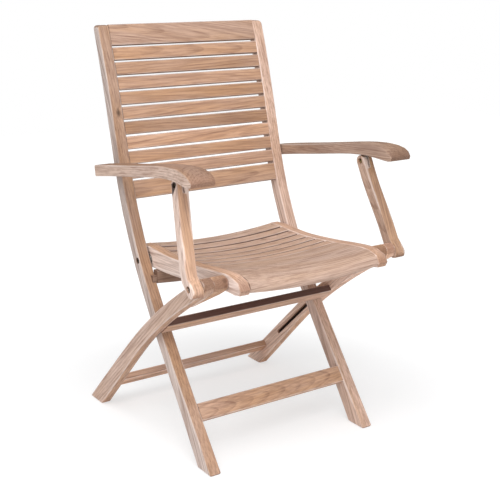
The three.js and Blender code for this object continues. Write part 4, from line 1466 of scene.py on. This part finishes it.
@dataclass
class Studio:
    """Camera, lamps and a pale floor that fades into a white ground."""

    eye: Triple = (-1.22551, -1.88959, 1.0411)
    azimuth_deg: float = -33.693
    elevation_deg: float = 15.460
    roll_deg: float = -0.189
    lens: float = 71.72
    sensor: float = 36.0
    floor_size: float = 9.0
    floor_colour: Colour = shade(248, 248, 249)
    floor_roughness: float = 0.9
    floor_specular: float = 0.1
    shadow_share: float = 0.48
    shadow_fade: tuple[float, float] = (0.42, 0.88)
    ground_glow: float = 1.12
    world_strength: float = 0.36
    world_shine: float = 0.5
    target: Triple = (0.0, 0.0, 0.45)
    lamps: tuple[Lamp, ...] = (
        Lamp("high_lamp", (-0.9, -1.2, 2.75), 2.4, 76.0),
        Lamp("left_lamp", (-2.3, -0.2, 1.6), 1.4, 13.0),
        Lamp("front_lamp", (1.3, -2.4, 1.3), 1.6, 10.0),
        Lamp("low_lamp", (-1.1, -2.1, 0.45), 1.0, 7.0),
    )

    def build(self) -> None:
        """Sets up the view, the light and the floor."""
        self.camera()
        self.floor()
        for lamp in self.lamps:
            lamp.hang(self.target)
        self.world()
        bpy.context.scene.view_settings.view_transform = "Standard"

    def camera(self) -> None:
        """Places the camera as the photograph was taken."""
        deselect_all()
        bpy.ops.object.camera_add(location=self.eye)
        camera = bpy.context.object
        camera.name = "camera"
        turn = Matrix.Rotation(math.radians(self.azimuth_deg), 3, "Z")
        tilt = Matrix.Rotation(math.radians(90 - self.elevation_deg), 3, "X")
        roll = Matrix.Rotation(math.radians(self.roll_deg), 3, "Z")
        camera.rotation_euler = (turn @ tilt @ roll).to_euler()
        camera.data.lens = self.lens
        camera.data.sensor_width = self.sensor
        camera.data.dof.use_dof = False
        bpy.context.scene.camera = camera

    def floor(self) -> None:
        """Lays the floor, which shows the camera a white ground with the chair's faint shadow."""
        deselect_all()
        bpy.ops.mesh.primitive_plane_add(size=self.floor_size)
        floor = bpy.context.object
        floor.name = "floor"
        material, patch, shader = new_material("pale_floor")
        shader.inputs["Base Color"].default_value = self.floor_colour
        shader.inputs["Roughness"].default_value = self.floor_roughness
        shader.inputs["Specular IOR Level"].default_value = self.floor_specular
        away = patch.step(patch.vector("LENGTH", patch.add("TexCoord").outputs["Object"]), *self.shadow_fade)
        white = patch.plus(patch.times(away, self.shadow_share), 1 - self.shadow_share)
        seen = patch.add("LightPath").outputs["Is Camera Ray"]
        glow = patch.add("Emission")
        glow.inputs["Strength"].default_value = self.ground_glow
        blend = patch.add("MixShader", patch.times(white, seen), shader.outputs[0], glow.outputs[0])
        patch.feed(patch.tree.nodes["Material Output"].inputs["Surface"], blend.outputs[0])
        floor.data.materials.append(material)

    def world(self) -> None:
        """Lights the scene evenly, and shows white to the camera and a pale grey to reflections."""
        world = bpy.data.worlds.new("studio")
        world.use_nodes = True
        patch = Patch(world.node_tree)
        back = patch.tree.nodes["Background"]
        back.inputs["Color"].default_value = (1.0, 1.0, 1.0, 1.0)
        path = patch.add("LightPath").outputs
        seen = path["Is Camera Ray"]
        light = patch.plus(seen, patch.times(patch.rest(seen), self.world_strength))
        shine = patch.times(path["Is Glossy Ray"], self.world_shine)
        patch.feed(back.inputs["Strength"], patch.maths("MAXIMUM", light, shine))
        bpy.context.scene.world = world


def main() -> None:
    """Builds the chair's sub-assemblies in order."""
    logging.basicConfig(level=logging.INFO, format="%(name)s: %(message)s")
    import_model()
    Studio().build()
    finishes = Finishes.mix()
    for assembly in (BackFrame(), Seat(), RearLegs(), GrooveRollers(), *map(ArmAndStrut, Side)):
        pieces = assembly.build(finishes)
        log.info("%s: %d pieces", type(assembly).__name__, len(pieces))


if __name__ == "__main__":
    main()
